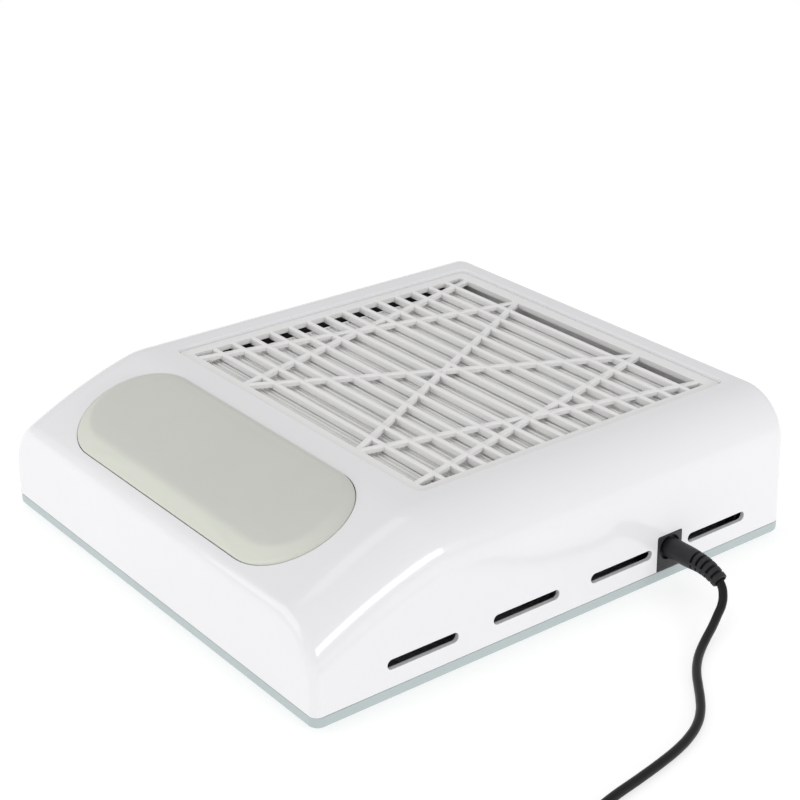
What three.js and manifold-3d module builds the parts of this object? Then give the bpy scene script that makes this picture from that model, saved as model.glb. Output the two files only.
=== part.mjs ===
// Desktop nail dust collector: a low glossy case with a padded hand rest on its sloping front, a
// lift-out pleated filter cartridge under a slatted grille, a centrifugal fan underneath, outlet
// slots in both side walls, and a low-voltage lead with a plug.
// Millimetres. +X is to the right of the person at the hand rest, -Y is their side, +Z is up,
// and the origin is on the table under the middle of the case.

import * as THREE from 'three';
import Module from 'manifold-3d';
import { ConvexGeometry } from 'three/addons/geometries/ConvexGeometry.js';
import { RoundedBoxGeometry } from 'three/addons/geometries/RoundedBoxGeometry.js';
import * as BufferGeometryUtils from 'three/addons/utils/BufferGeometryUtils.js';

const wasm = await Module();
wasm.setup();

// ---------------------------------------------------------------- driving dimensions

const GAP = 0.3; // between pieces that touch
const CUT = 1; // how far a cutter runs past the face it cuts

// case
const CASE_WIDTH = 265;
const CASE_DEPTH = 285.5;
const CASE_HEIGHT = 76.6;
const FOOT_DROP = 2; // how far the feet stand below the tray
const TRAY_TOP = 8;
const SLOPE_RISE = 26.9; // from the top of the front wall to the flat top
const SLOPE_ANGLE = THREE.MathUtils.degToRad(30.3); // of the slope where it leaves the front wall
const SLOPE_RADIUS = 255; // the slope bulges on this radius
const SHOULDER_RADIUS = 24.3; // between the side walls and the top
const END_RADIUS = 5; // round the front and back faces
const CORNER_RADIUS = 5.2; // the tray's corners in plan
const SIDE_DRAFT = 1; // each side wall leans in by this at full height
const BACK_DRAFT = 1.8;
const WALL = 2.2;

// filter well and cartridge
const WELL_WIDTH = 203;
const WELL_FRONT = -62.7;
const WELL_LENGTH = 191.7;
const WELL_CORNER = 5;
const WELL_WALL = 2;
const CARTRIDGE_CLEARANCE = 0.4;
const CARTRIDGE_SINK = 2; // the cartridge's face is this far below the case's top
const CARTRIDGE_HEIGHT = 32.3;
const GRILLE_SKIRT = 13;
const GRILLE_BORDER = 6.5;
const GRILLE_THICKNESS = 3;
const SLAT_COUNT = 14;
const SLAT_PITCH = 11.9;
const SLAT_WIDTH = 2.6;
const FIRST_SLAT = 12.6; // from the opening's front edge to the middle of the first slat
const RIB_WIDTH = 3.2;
const RIB_SINK = 0.1; // the ribs' top below the slats' top
const RIB_DEPTH = 2.2;
const FRAME_WALL = 1.6;
const PLEAT_PITCH = 2.5;
const PLEAT_DROP = 4.6; // pleat tips below the grille's face
const PAPER = 0.7;
const PLEAT_SIDE_SPACE = 7; // between the pleat pack and the frame's side walls
const PLEAT_BACK_SPACE = 13.5;
const TRAY_BAR = 4;

// hand rest
const PAD_LENGTH = 193;
const PAD_DEPTH = 63;
const PAD_MIDDLE = 38.7; // along the slope from the crease
const PAD_PROUD = 3.4;
const PAD_CLEARANCE = 0.7;
const BACKING_SINK = 1.6; // the backing's face below the slope
const BACKING_FLANGE = 4;
const BACKING_THICKNESS = 1.6;

// outlet slots, the same on both side walls
const SLOT_LENGTH = 39;
const SLOT_HEIGHT = 5;
const SLOT_MIDDLE = 19.5; // height of the slots' centreline
const SLOT_PLACES = [-85, -26, 32.5, 95.5];

// power inlet and switch
const INLET_PLACE = 63.7;
const INLET_WIDTH = 15.5;
const INLET_HEIGHT = 18.2;
const INLET_DEPTH = 14;
const PLUG_HEIGHT = 19.6;
const BARREL_RADIUS = 2.75;
const BARREL_BORE = 1.5;
const BARREL_LENGTH = 9.5;
const INLET_BORE = 3.1;
const CONTACT_RADIUS = 1;
const SWITCH_HEIGHT = 24;
const SWITCH_WIDTH = 15;
const SWITCH_LENGTH = 21;
const SWITCH_FLANGE = 1.6;
const SWITCH_DEPTH = 14;
const ROCKER_PROUD = 1.2;
const ROCKER_DIP = 1;
const ROCKER_TILT = THREE.MathUtils.degToRad(7);

// fan
const FAN_PLACE = 33.2;
const DECK_THICKNESS = 2.5;
const DECK_FLANGE = 9;
const INLET_RADIUS = 56;
const COLLAR_DEPTH = 3.4;
const IMPELLER_RADIUS = 66;
const IMPELLER_HEIGHT = 20;
const IMPELLER_FLOOR = 13.6;
const BLADE_COUNT = 16;
const BLADE_THICKNESS = 1.4;
const BLADE_ROOT = 44;
const DISC_THICKNESS = 1.6;
const MOTOR_RADIUS = 26;
const MOTOR_HEIGHT = 16;
const SHAFT_RADIUS = 2.5;
const BRACKET_TOP = 9.2;
const BRACKET_THICKNESS = 1.8;
const BRACKET_ARM = 46; // from the shaft to each bracket screw

// fastenings and feet
const SCREW_RADIUS = 1.5;
const SCREW_HEAD = 2.8;
const SCREW_HEAD_HEIGHT = 1.8;
const BOSS_RADIUS = 4.2;
const CASE_SCREW_SIDE = 14; // from the side walls
const CASE_SCREW_END = 18; // from the front and back walls
const FOOT_RADIUS = 8;
const FOOT_INSET = 34;
const FOOT_RECESS = 1;

// control board
const BOARD_WIDTH = 56;
const BOARD_DEPTH = 36;
const BOARD_THICKNESS = 1.6;
const BOARD_HEIGHT = 10;
const BOARD_X = 78;
const BOARD_Y = -104;

// lead
const CORD_RADIUS = 2.1;
const HANDLE_RADIUS = 5.4;
const HANDLE_LENGTH = 16;
const RELIEF_RADIUS = 4.4;
const COIL_REACH = 159.5; // from the side wall to the coil's middle
const COIL_SETBACK = 191.7; // from the inlet's place along the wall to the coil's middle
const COIL_RADIUS = 27.5; // of the middle of the turns
const COIL_WIDTH = 13.2;
const COIL_HEIGHT = 8.8;
const LAST_TURN = 31.9; // radius of the turn that the cord leaves the coil from
const ADAPTER_LEAD = 30; // from the coil's middle to the adapter's sleeve
const ADAPTER_SLEEVE = 12;
const ADAPTER_LENGTH = 62;
const ADAPTER_WIDTH = 40;
const ADAPTER_HEIGHT = 25;
const PIN_RADIUS = 2;
const PIN_LENGTH = 17;
const PIN_SPACING = 19;

// ---------------------------------------------------------------- values worked out from them

const sideX = CASE_WIDTH / 2;
const frontY = -CASE_DEPTH / 2;
const backY = CASE_DEPTH / 2;
const coverBottom = TRAY_TOP + GAP;
const trayFloor = FOOT_DROP + WALL;
const slopeCentreY = frontY + SLOPE_RADIUS * Math.sin(SLOPE_ANGLE);
const slopeCentreZ = CASE_HEIGHT - SLOPE_RISE - SLOPE_RADIUS * Math.cos(SLOPE_ANGLE);
const wellBack = WELL_FRONT + WELL_LENGTH;
const cartridgeTop = CASE_HEIGHT - CARTRIDGE_SINK;
const cartridgeBottom = cartridgeTop - CARTRIDGE_HEIGHT;
const deckTop = cartridgeBottom - GAP;
const deckBottom = deckTop - DECK_THICKNESS;
const skirtBottom = cartridgeTop - GRILLE_SKIRT;
const inletFaceX = sideX;

// ---------------------------------------------------------------- materials

function plastic(colour, roughness) {
  return new THREE.MeshStandardMaterial({ color: colour, roughness, metalness: 0 });
}

function metal(colour, roughness) {
  return new THREE.MeshStandardMaterial({ color: colour, roughness, metalness: 1 });
}

const glossWhite = () => plastic(0xeeeef0, 0.15);
const paleTeal = () => plastic(0xbccfd0, 0.35);
const warmWhite = () => plastic(0xe4e2de, 0.4);
const filterPaper = () => plastic(0xc9c7c2, 0.95);
const greyPad = () => plastic(0xc6c6bd, 0.6);
const greyPlastic = () => plastic(0x8d9092, 0.5);
const blackPlastic = () => plastic(0x202022, 0.4);
const blackRubber = () => plastic(0x1b1b1c, 0.8);
const steel = () => metal(0xb8bbbe, 0.35);
const boardGreen = () => plastic(0x1d5b39, 0.5);

// ---------------------------------------------------------------- tools for making solids

// Points are put on a fine grid, so that faces meant to be flush are exactly flush.
function solidOf(geometry) {
  const bare = geometry.clone();
  bare.deleteAttribute('normal');
  bare.deleteAttribute('uv');
  const grid = 1e4;
  const places = bare.attributes.position.array;
  places.forEach((value, i) => {
    places[i] = Math.round(value * grid) / grid;
  });
  const merged = BufferGeometryUtils.mergeVertices(bare, 1 / grid);
  const mesh = new wasm.Mesh({
    numProp: 3,
    vertProperties: new Float32Array(merged.attributes.position.array),
    triVerts: new Uint32Array(merged.index.array),
  });
  return new wasm.Manifold(mesh);
}

function geometryOf(solid) {
  const mesh = solid.getMesh();
  const geometry = new THREE.BufferGeometry();
  geometry.setAttribute('position', new THREE.BufferAttribute(new Float32Array(mesh.vertProperties), 3));
  geometry.setIndex(new THREE.BufferAttribute(new Uint32Array(mesh.triVerts), 1));
  return geometry;
}

function join(...solids) {
  return solids.reduce((whole, next) => whole.add(next));
}

function cut(solid, ...cutters) {
  return cutters.reduce((left, cutter) => left.subtract(cutter), solid);
}

function box(x0, x1, y0, y1, z0, z1) {
  const geometry = new THREE.BoxGeometry(x1 - x0, y1 - y0, z1 - z0);
  geometry.translate((x0 + x1) / 2, (y0 + y1) / 2, (z0 + z1) / 2);
  return solidOf(geometry);
}

function diskZ(radius, z0, z1, x, y, sides = 24) {
  const geometry = new THREE.CylinderGeometry(radius, radius, z1 - z0, sides);
  geometry.rotateX(Math.PI / 2);
  geometry.translate(x, y, (z0 + z1) / 2);
  return solidOf(geometry);
}

function diskX(radius, x0, x1, y, z, sides = 20) {
  const geometry = new THREE.CylinderGeometry(radius, radius, x1 - x0, sides);
  geometry.rotateZ(Math.PI / 2);
  geometry.translate((x0 + x1) / 2, y, z);
  return solidOf(geometry);
}

function roundedShape(x0, x1, y0, y1, radius) {
  const shape = new THREE.Shape();
  shape.moveTo(x0 + radius, y0);
  shape.lineTo(x1 - radius, y0);
  shape.absarc(x1 - radius, y0 + radius, radius, -Math.PI / 2, 0);
  shape.lineTo(x1, y1 - radius);
  shape.absarc(x1 - radius, y1 - radius, radius, 0, Math.PI / 2);
  shape.lineTo(x0 + radius, y1);
  shape.absarc(x0 + radius, y1 - radius, radius, Math.PI / 2, Math.PI);
  shape.lineTo(x0, y0 + radius);
  shape.absarc(x0 + radius, y0 + radius, radius, Math.PI, Math.PI * 1.5);
  return shape;
}

function extrudeZ(shape, z0, z1, curveSegments = 4) {
  const geometry = new THREE.ExtrudeGeometry(shape, { depth: z1 - z0, bevelEnabled: false, curveSegments });
  geometry.translate(0, 0, z0);
  return solidOf(geometry);
}

// A prism along X from an outline given in Y and Z.
function extrudeX(shape, x0, x1, curveSegments = 10) {
  const geometry = new THREE.ExtrudeGeometry(shape, { depth: x1 - x0, bevelEnabled: false, curveSegments });
  geometry.rotateX(Math.PI / 2);
  geometry.rotateZ(Math.PI / 2);
  geometry.translate(x0, 0, 0);
  return solidOf(geometry);
}

function tube(points, radius, sides, steps) {
  const curve = new THREE.CatmullRomCurve3(points.map((p) => new THREE.Vector3(...p)), false, 'centripetal');
  const section = new THREE.Shape();
  for (let i = 0; i < sides; i += 1) {
    const angle = (2 * Math.PI * i) / sides;
    const x = radius * Math.cos(angle);
    const y = radius * Math.sin(angle);
    if (i === 0) section.moveTo(x, y);
    else section.lineTo(x, y);
  }
  section.closePath();
  return solidOf(new THREE.ExtrudeGeometry(section, { steps, extrudePath: curve, bevelEnabled: false }));
}

const object = new THREE.Group();

function addPiece(name, shape, material, parent = object) {
  const geometry = shape.isBufferGeometry ? shape : geometryOf(shape);
  const piece = new THREE.Mesh(geometry, material);
  piece.name = name;
  parent.add(piece);
  return piece;
}

// ---------------------------------------------------------------- case surfaces

// Height of the top skin at y, for a skin that lies `inset` inside the outer one.
function skinTop(y, inset) {
  const radius = SLOPE_RADIUS - inset;
  const along = Math.min(radius, Math.abs(y - slopeCentreY));
  const slope = slopeCentreZ + Math.sqrt(radius * radius - along * along);
  const flat = CASE_HEIGHT - inset;
  return y < slopeCentreY ? Math.min(slope, flat) : flat;
}

function skinTilt(y, inset) {
  if (skinTop(y, inset) >= CASE_HEIGHT - inset - 1e-6) return 0;
  return Math.asin((slopeCentreY - y) / (SLOPE_RADIUS - inset));
}

// Where the slope runs into the flat top.
function slopeEnd(inset) {
  const radius = SLOPE_RADIUS - inset;
  const rise = CASE_HEIGHT - inset - slopeCentreZ;
  return slopeCentreY - Math.sqrt(radius * radius - rise * rise);
}

// The outline of the case across X at one place along Y, as points of the convex body.
function sectionPoints(y, inset, shrink, bottom) {
  const arcSteps = 5;
  const tilt = skinTilt(y, inset);
  const top = skinTop(y, inset) - shrink / Math.cos(tilt);
  const across = Math.max(SHOULDER_RADIUS - inset - shrink, 1);
  const down = across / Math.cos(tilt);
  const points = [];
  const place = (x, z) => {
    const share = (z - TRAY_TOP) / (CASE_HEIGHT - TRAY_TOP);
    const half = x - SIDE_DRAFT * share;
    const lean = y > 0 ? (BACK_DRAFT * share * y) / backY : 0;
    points.push(new THREE.Vector3(half, y - lean, z), new THREE.Vector3(-half, y - lean, z));
  };
  const half = sideX - inset - shrink;
  place(half, bottom);
  for (let i = 0; i <= arcSteps; i += 1) {
    const angle = (Math.PI / 2) * (i / arcSteps);
    place(half - across + across * Math.cos(angle), top - down + down * Math.sin(angle));
  }
  return points;
}

// The convex body under a skin: full stations along the slope and the top, and rounded ends.
function caseBody(inset, bottom) {
  const radius = Math.max(END_RADIUS - inset, 1);
  const first = frontY + inset;
  const last = backY - inset;
  const points = [];
  const endSteps = 3;
  for (let i = 0; i <= endSteps; i += 1) {
    const angle = (Math.PI / 2) * (i / endSteps);
    const inward = radius * (1 - Math.cos(angle));
    const shrink = radius * (1 - Math.sin(angle));
    points.push(...sectionPoints(first + inward, inset, shrink, bottom));
    points.push(...sectionPoints(last - inward, inset, shrink, bottom));
  }
  const slopeSteps = 6;
  const start = first + radius;
  for (let i = 1; i <= slopeSteps; i += 1) {
    points.push(...sectionPoints(start + ((slopeEnd(inset) - start) * i) / slopeSteps, inset, 0, bottom));
  }
  return solidOf(new ConvexGeometry(points));
}

// A stadium-shaped prism that stands square on the middle of the hand rest.
function restPrism(grow, below, above) {
  const turn = SLOPE_ANGLE - PAD_MIDDLE / SLOPE_RADIUS;
  const middleY = slopeCentreY - SLOPE_RADIUS * Math.sin(turn);
  const middleZ = slopeCentreZ + SLOPE_RADIUS * Math.cos(turn);
  const half = PAD_LENGTH / 2 + grow;
  const reach = PAD_DEPTH / 2 + grow;
  const shape = roundedShape(-half, half, -reach, reach, reach - 0.05);
  const depth = below + above;
  const geometry = new THREE.ExtrudeGeometry(shape, { depth, bevelEnabled: false, curveSegments: 6 });
  geometry.translate(0, 0, -below);
  geometry.rotateX(turn);
  geometry.translate(0, middleY, middleZ);
  return solidOf(geometry);
}

// The layer between two skins that follow the slope, `low` and `high` above the outer skin.
function slopeLayer(low, high) {
  const from = Math.PI / 2 + SLOPE_ANGLE + 0.02;
  const to = Math.PI / 2 + 0.12;
  const shape = new THREE.Shape();
  shape.absarc(slopeCentreY, slopeCentreZ, SLOPE_RADIUS + high, from, to, true);
  shape.absarc(slopeCentreY, slopeCentreZ, SLOPE_RADIUS + low, to, from, false);
  shape.closePath();
  return extrudeX(shape, -sideX + SHOULDER_RADIUS, sideX - SHOULDER_RADIUS, 6);
}

// ---------------------------------------------------------------- case

const caseScrewPlaces = [
  [-sideX + CASE_SCREW_SIDE, frontY + CASE_SCREW_END],
  [sideX - CASE_SCREW_SIDE, frontY + CASE_SCREW_END],
  [-sideX + CASE_SCREW_SIDE, backY - CASE_SCREW_END],
  [sideX - CASE_SCREW_SIDE, backY - CASE_SCREW_END],
];

const deckScrewPlaces = [
  [-WELL_WIDTH / 2 - DECK_FLANGE / 2, WELL_FRONT + 30],
  [WELL_WIDTH / 2 + DECK_FLANGE / 2, WELL_FRONT + 30],
  [-WELL_WIDTH / 2 - DECK_FLANGE / 2, wellBack - 30],
  [WELL_WIDTH / 2 + DECK_FLANGE / 2, wellBack - 30],
];

function slotCutter(side, y) {
  const half = SLOT_LENGTH / 2 - SLOT_HEIGHT / 2;
  const x0 = side > 0 ? sideX - WALL - 6 : -sideX - 6;
  const x1 = side > 0 ? sideX + 6 : -sideX + WALL + 6;
  return join(
    box(x0, x1, y - half, y + half, SLOT_MIDDLE - SLOT_HEIGHT / 2, SLOT_MIDDLE + SLOT_HEIGHT / 2),
    diskX(SLOT_HEIGHT / 2, x0, x1, y - half, SLOT_MIDDLE, 12),
    diskX(SLOT_HEIGHT / 2, x0, x1, y + half, SLOT_MIDDLE, 12),
  );
}

function topCover() {
  const wellShape = (grow) => roundedShape(
    -WELL_WIDTH / 2 - grow,
    WELL_WIDTH / 2 + grow,
    WELL_FRONT - grow,
    wellBack + grow,
    WELL_CORNER + grow,
  );
  let cover = cut(
    caseBody(0, coverBottom),
    caseBody(WALL, coverBottom - CUT),
  );
  cover = cut(cover, extrudeZ(wellShape(0), CASE_HEIGHT - WALL - CUT, CASE_HEIGHT + CUT));
  const wellTop = CASE_HEIGHT - WALL / 2;
  cover = join(cover, cut(
    extrudeZ(wellShape(WELL_WALL), deckTop + GAP, wellTop),
    extrudeZ(wellShape(0), deckTop, wellTop + CUT),
  ));
  for (const [x, y] of deckScrewPlaces) {
    const boss = diskZ(BOSS_RADIUS, deckTop + GAP, deckTop + 12, x, y, 12);
    cover = join(cover, cut(boss, extrudeZ(wellShape(WELL_WALL / 2), deckTop, CASE_HEIGHT)));
    cover = cut(cover, diskZ(SCREW_RADIUS + GAP, deckTop, deckTop + 9, x, y, 8));
  }
  for (const [x, y] of caseScrewPlaces) {
    const underside = skinTop(y, WALL) + WALL / 2;
    const post = diskZ(BOSS_RADIUS, coverBottom + 2, underside, x, y, 12);
    cover = join(cover, post.intersect(caseBody(WALL / 2, coverBottom)));
    cover = cut(cover, diskZ(SCREW_RADIUS + GAP, coverBottom, coverBottom + 14, x, y, 8));
  }
  for (const y of SLOT_PLACES) {
    cover = cut(cover, slotCutter(1, y), slotCutter(-1, y));
  }
  const halfInlet = INLET_WIDTH / 2 + GAP;
  cover = cut(
    cover,
    restPrism(0, 12, 10).intersect(slopeLayer(-WALL * 2, 6)),
    box(
      sideX - WALL * 2,
      sideX + CUT,
      INLET_PLACE - halfInlet,
      INLET_PLACE + halfInlet,
      coverBottom - CUT,
      coverBottom + INLET_HEIGHT + GAP,
    ),
    box(
      -sideX - CUT,
      -sideX + WALL * 2,
      INLET_PLACE - SWITCH_WIDTH / 2 + 2,
      INLET_PLACE + SWITCH_WIDTH / 2 - 2,
      SWITCH_HEIGHT - SWITCH_LENGTH / 2 + 2,
      SWITCH_HEIGHT + SWITCH_LENGTH / 2 - 2,
    ),
  );
  return cover;
}

function baseTray() {
  const outline = (inset) => roundedShape(
    -sideX + inset,
    sideX - inset,
    frontY + inset,
    backY - inset,
    Math.max(CORNER_RADIUS - inset, 1),
  );
  const lipInset = WALL + GAP;
  const lipTop = TRAY_TOP + 3;
  let tray = join(
    cut(
      join(
        extrudeZ(outline(1), FOOT_DROP, FOOT_DROP + 1 + CUT / 2),
        extrudeZ(outline(0), FOOT_DROP + 1, TRAY_TOP),
      ),
      extrudeZ(outline(WALL + 1), trayFloor, TRAY_TOP + CUT),
    ),
    cut(
      extrudeZ(outline(lipInset), FOOT_DROP + 1, lipTop),
      extrudeZ(outline(lipInset + 1.4), trayFloor, lipTop + CUT),
    ),
  );
  const inletRoom = INLET_WIDTH / 2 + GAP;
  tray = cut(
    tray,
    box(
      sideX - INLET_DEPTH - 2,
      sideX - WALL,
      INLET_PLACE - inletRoom,
      INLET_PLACE + inletRoom,
      TRAY_TOP,
      lipTop + CUT,
    ),
  );
  for (const [x, y] of caseScrewPlaces) {
    tray = join(tray, diskZ(BOSS_RADIUS, FOOT_DROP + 1, coverBottom + 2 - GAP, x, y, 12));
    tray = cut(
      tray,
      diskZ(SCREW_RADIUS + GAP, FOOT_DROP - CUT, coverBottom + 3, x, y, 8),
      diskZ(SCREW_HEAD + GAP, FOOT_DROP - CUT, FOOT_DROP + SCREW_HEAD_HEIGHT + GAP * 2, x, y, 12),
    );
  }
  for (const [x, y] of bracketScrewPlaces()) {
    tray = join(tray, diskZ(BOSS_RADIUS, FOOT_DROP + 1, BRACKET_TOP - BRACKET_THICKNESS - GAP, x, y, 12));
    tray = cut(tray, diskZ(SCREW_RADIUS + GAP, trayFloor - 0.4, BRACKET_TOP, x, y, 8));
  }
  for (const [x, y] of boardScrewPlaces()) {
    tray = join(tray, diskZ(BOSS_RADIUS - 1, FOOT_DROP + 1, BOARD_HEIGHT - GAP, x, y, 10));
    tray = cut(tray, diskZ(SCREW_RADIUS + GAP, trayFloor, BOARD_HEIGHT, x, y, 8));
  }
  for (const [x, y] of footPlaces()) {
    tray = cut(tray, diskZ(FOOT_RADIUS + GAP * 2, FOOT_DROP - CUT, FOOT_DROP + FOOT_RECESS, x, y, 14));
  }
  return tray;
}

function footPlaces() {
  const x = sideX - FOOT_INSET;
  const y = backY - FOOT_INSET;
  return [[-x, -y], [x, -y], [-x, y], [x, y]];
}

function rubberFoot(x, y) {
  const top = FOOT_DROP + FOOT_RECESS - GAP;
  const profile = [
    new THREE.Vector2(0, 0),
    new THREE.Vector2(FOOT_RADIUS - 1.2, 0),
    new THREE.Vector2(FOOT_RADIUS, 1),
    new THREE.Vector2(FOOT_RADIUS, top),
    new THREE.Vector2(0, top),
  ];
  const geometry = new THREE.LatheGeometry(profile, 14);
  geometry.rotateX(Math.PI / 2);
  geometry.translate(x, y, 0);
  return solidOf(geometry);
}

// A pan-head screw along Z: the head starts at headZ, and the thread runs on to tipZ.
function screw(x, y, headZ, tipZ) {
  const up = tipZ > headZ;
  const headEnd = up ? headZ + SCREW_HEAD_HEIGHT : headZ - SCREW_HEAD_HEIGHT;
  const shank = diskZ(SCREW_RADIUS, Math.min(headZ, tipZ), Math.max(headZ, tipZ), x, y, 8);
  const head = diskZ(SCREW_HEAD, Math.min(headZ, headEnd), Math.max(headZ, headEnd), x, y, 10);
  const slotDepth = 0.7;
  const slotZ = up ? headZ + slotDepth : headZ - slotDepth;
  const slot = box(
    x - SCREW_HEAD * 0.6,
    x + SCREW_HEAD * 0.6,
    y - 0.4,
    y + 0.4,
    Math.min(slotZ, up ? headZ - CUT : slotZ),
    Math.max(slotZ, up ? slotZ : headZ + CUT),
  );
  return cut(join(head, shank), slot);
}

// ---------------------------------------------------------------- hand rest

function padBacking() {
  const underside = -WALL - GAP - BACKING_THICKNESS;
  const raised = restPrism(-PAD_CLEARANCE, 14, 4).intersect(slopeLayer(underside, -BACKING_SINK));
  const flange = restPrism(BACKING_FLANGE, 20, 4)
    .intersect(slopeLayer(underside, -WALL - GAP))
    .intersect(caseBody(WALL + GAP, coverBottom));
  return join(raised, flange);
}

function handRestPad() {
  return restPrism(-PAD_CLEARANCE, 12, 8).intersect(slopeLayer(-BACKING_SINK + GAP, PAD_PROUD));
}

// ---------------------------------------------------------------- filter cartridge

const cartridge = {
  x: WELL_WIDTH / 2 - CARTRIDGE_CLEARANCE,
  front: WELL_FRONT + CARTRIDGE_CLEARANCE,
  back: wellBack - CARTRIDGE_CLEARANCE,
};
const opening = {
  x: cartridge.x - GRILLE_BORDER,
  front: cartridge.front + GRILLE_BORDER,
  back: cartridge.back - GRILLE_BORDER - 0.7,
};

function cartridgeShape(inset) {
  return roundedShape(
    -cartridge.x + inset,
    cartridge.x - inset,
    cartridge.front + inset,
    cartridge.back - inset,
    Math.max(WELL_CORNER - CARTRIDGE_CLEARANCE - inset, 0.8),
  );
}

// A flat bar between two points, cut off at the middle of the grille's border.
function diagonalBar(xFront, xBack) {
  const reach = GRILLE_BORDER / 2;
  const start = new THREE.Vector2(xFront, opening.front - reach);
  const end = new THREE.Vector2(xBack, opening.back + reach);
  const run = end.clone().sub(start);
  const side = new THREE.Vector2(-run.y, run.x).setLength(RIB_WIDTH / 2);
  const shape = new THREE.Shape([
    start.clone().sub(side),
    end.clone().sub(side),
    end.clone().add(side),
    start.clone().add(side),
  ]);
  return extrudeZ(shape, cartridgeTop - RIB_SINK - RIB_DEPTH, cartridgeTop - RIB_SINK);
}

function filterGrille() {
  let grille = cut(
    extrudeZ(cartridgeShape(0), skirtBottom, cartridgeTop),
    extrudeZ(cartridgeShape(FRAME_WALL), skirtBottom - CUT, cartridgeTop - GRILLE_THICKNESS),
    box(-opening.x, opening.x, opening.front, opening.back, skirtBottom, cartridgeTop + CUT),
  );
  for (let i = 0; i < SLAT_COUNT; i += 1) {
    const y = opening.front + FIRST_SLAT + i * SLAT_PITCH;
    grille = join(grille, box(
      -opening.x - 1,
      opening.x + 1,
      y - SLAT_WIDTH / 2,
      y + SLAT_WIDTH / 2,
      cartridgeTop - GRILLE_THICKNESS,
      cartridgeTop,
    ));
  }
  const outer = opening.x - 4.5;
  const inner = opening.x / 2;
  const diagonals = [
    [-outer, -inner],
    [-inner, -outer],
    [-inner, inner],
    [inner, -inner],
    [inner, outer],
    [outer, inner],
  ];
  for (const [xFront, xBack] of diagonals) {
    grille = join(grille, diagonalBar(xFront, xBack));
  }
  return grille;
}

// Folded paper, seen along X: a zigzag band of even thickness.
function filterMedia() {
  const low = cartridgeBottom + WALL + GAP;
  const high = cartridgeTop - PLEAT_DROP;
  const first = cartridge.front + FRAME_WALL + GAP * 4;
  const last = cartridge.back - FRAME_WALL - PLEAT_BACK_SPACE;
  const folds = Math.floor((last - first) / (PLEAT_PITCH / 2));
  const upper = [];
  const lower = [];
  for (let i = 0; i <= folds; i += 1) {
    const y = first + (i * PLEAT_PITCH) / 2;
    const isTip = i % 2 === 0;
    const step = (high - low) / (PLEAT_PITCH / 2);
    const drop = PAPER * Math.sqrt(1 + step * step) / 2;
    const flat = Math.min(drop, (high - low) * 0.3);
    upper.push(new THREE.Vector2(y, isTip ? high : low + flat));
    lower.push(new THREE.Vector2(y, isTip ? high - flat : low));
  }
  const shape = new THREE.Shape([...upper, ...lower.reverse()]);
  const half = cartridge.x - GRILLE_BORDER - PLEAT_SIDE_SPACE;
  return extrudeX(shape, -half, half);
}

function filterTray() {
  const top = skirtBottom - GAP;
  let tray = cut(
    extrudeZ(cartridgeShape(0), cartridgeBottom, top),
    extrudeZ(cartridgeShape(FRAME_WALL), cartridgeBottom + WALL, top + CUT),
  );
  const columns = 6;
  const rows = 6;
  const innerX = cartridge.x - TRAY_BAR;
  const innerFront = cartridge.front + TRAY_BAR;
  const innerBack = cartridge.back - TRAY_BAR;
  const cellX = (2 * innerX + TRAY_BAR) / columns;
  const cellY = (innerBack - innerFront + TRAY_BAR) / rows;
  for (let i = 0; i < columns; i += 1) {
    for (let j = 0; j < rows; j += 1) {
      const x = -innerX + i * cellX;
      const y = innerFront + j * cellY;
      tray = cut(tray, box(
        x,
        x + cellX - TRAY_BAR,
        y,
        y + cellY - TRAY_BAR,
        cartridgeBottom - CUT,
        cartridgeBottom + WALL + CUT,
      ));
    }
  }
  return tray;
}

// ---------------------------------------------------------------- fan

function fanDeck() {
  const grow = DECK_FLANGE;
  const outline = roundedShape(
    -WELL_WIDTH / 2 - grow,
    WELL_WIDTH / 2 + grow,
    WELL_FRONT - WELL_WALL,
    wellBack + WELL_WALL,
    WELL_CORNER,
  );
  let deck = join(
    extrudeZ(outline, deckBottom, deckTop),
    diskZ(INLET_RADIUS + 2, deckBottom - COLLAR_DEPTH, deckBottom + CUT, 0, FAN_PLACE, 32),
  );
  deck = cut(deck, diskZ(INLET_RADIUS, deckBottom - COLLAR_DEPTH - CUT, deckTop + CUT, 0, FAN_PLACE, 32));
  for (const [x, y] of deckScrewPlaces) {
    deck = cut(deck, diskZ(SCREW_RADIUS + GAP, deckBottom - CUT, deckTop + CUT, x, y, 8));
  }
  return deck;
}

function inletGuard() {
  const z0 = deckTop - 1.8;
  const z1 = deckTop - 0.2;
  const bar = 1.6;
  let guard = diskZ(9, z0, z1, 0, FAN_PLACE, 16);
  const outer = INLET_RADIUS - GAP;
  for (const radius of [outer, outer - 15, outer - 30]) {
    guard = join(guard, cut(
      diskZ(radius, z0, z1, 0, FAN_PLACE, 24),
      diskZ(radius - bar, z0 - CUT, z1 + CUT, 0, FAN_PLACE, 24),
    ));
  }
  const arms = 4;
  for (let i = 0; i < arms / 2; i += 1) {
    const spoke = new THREE.BoxGeometry(2 * (outer - bar / 2), bar, z1 - z0);
    spoke.rotateZ((Math.PI * i) / (arms / 2));
    spoke.translate(0, FAN_PLACE, (z0 + z1) / 2);
    guard = join(guard, solidOf(spoke));
  }
  return guard;
}

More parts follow.
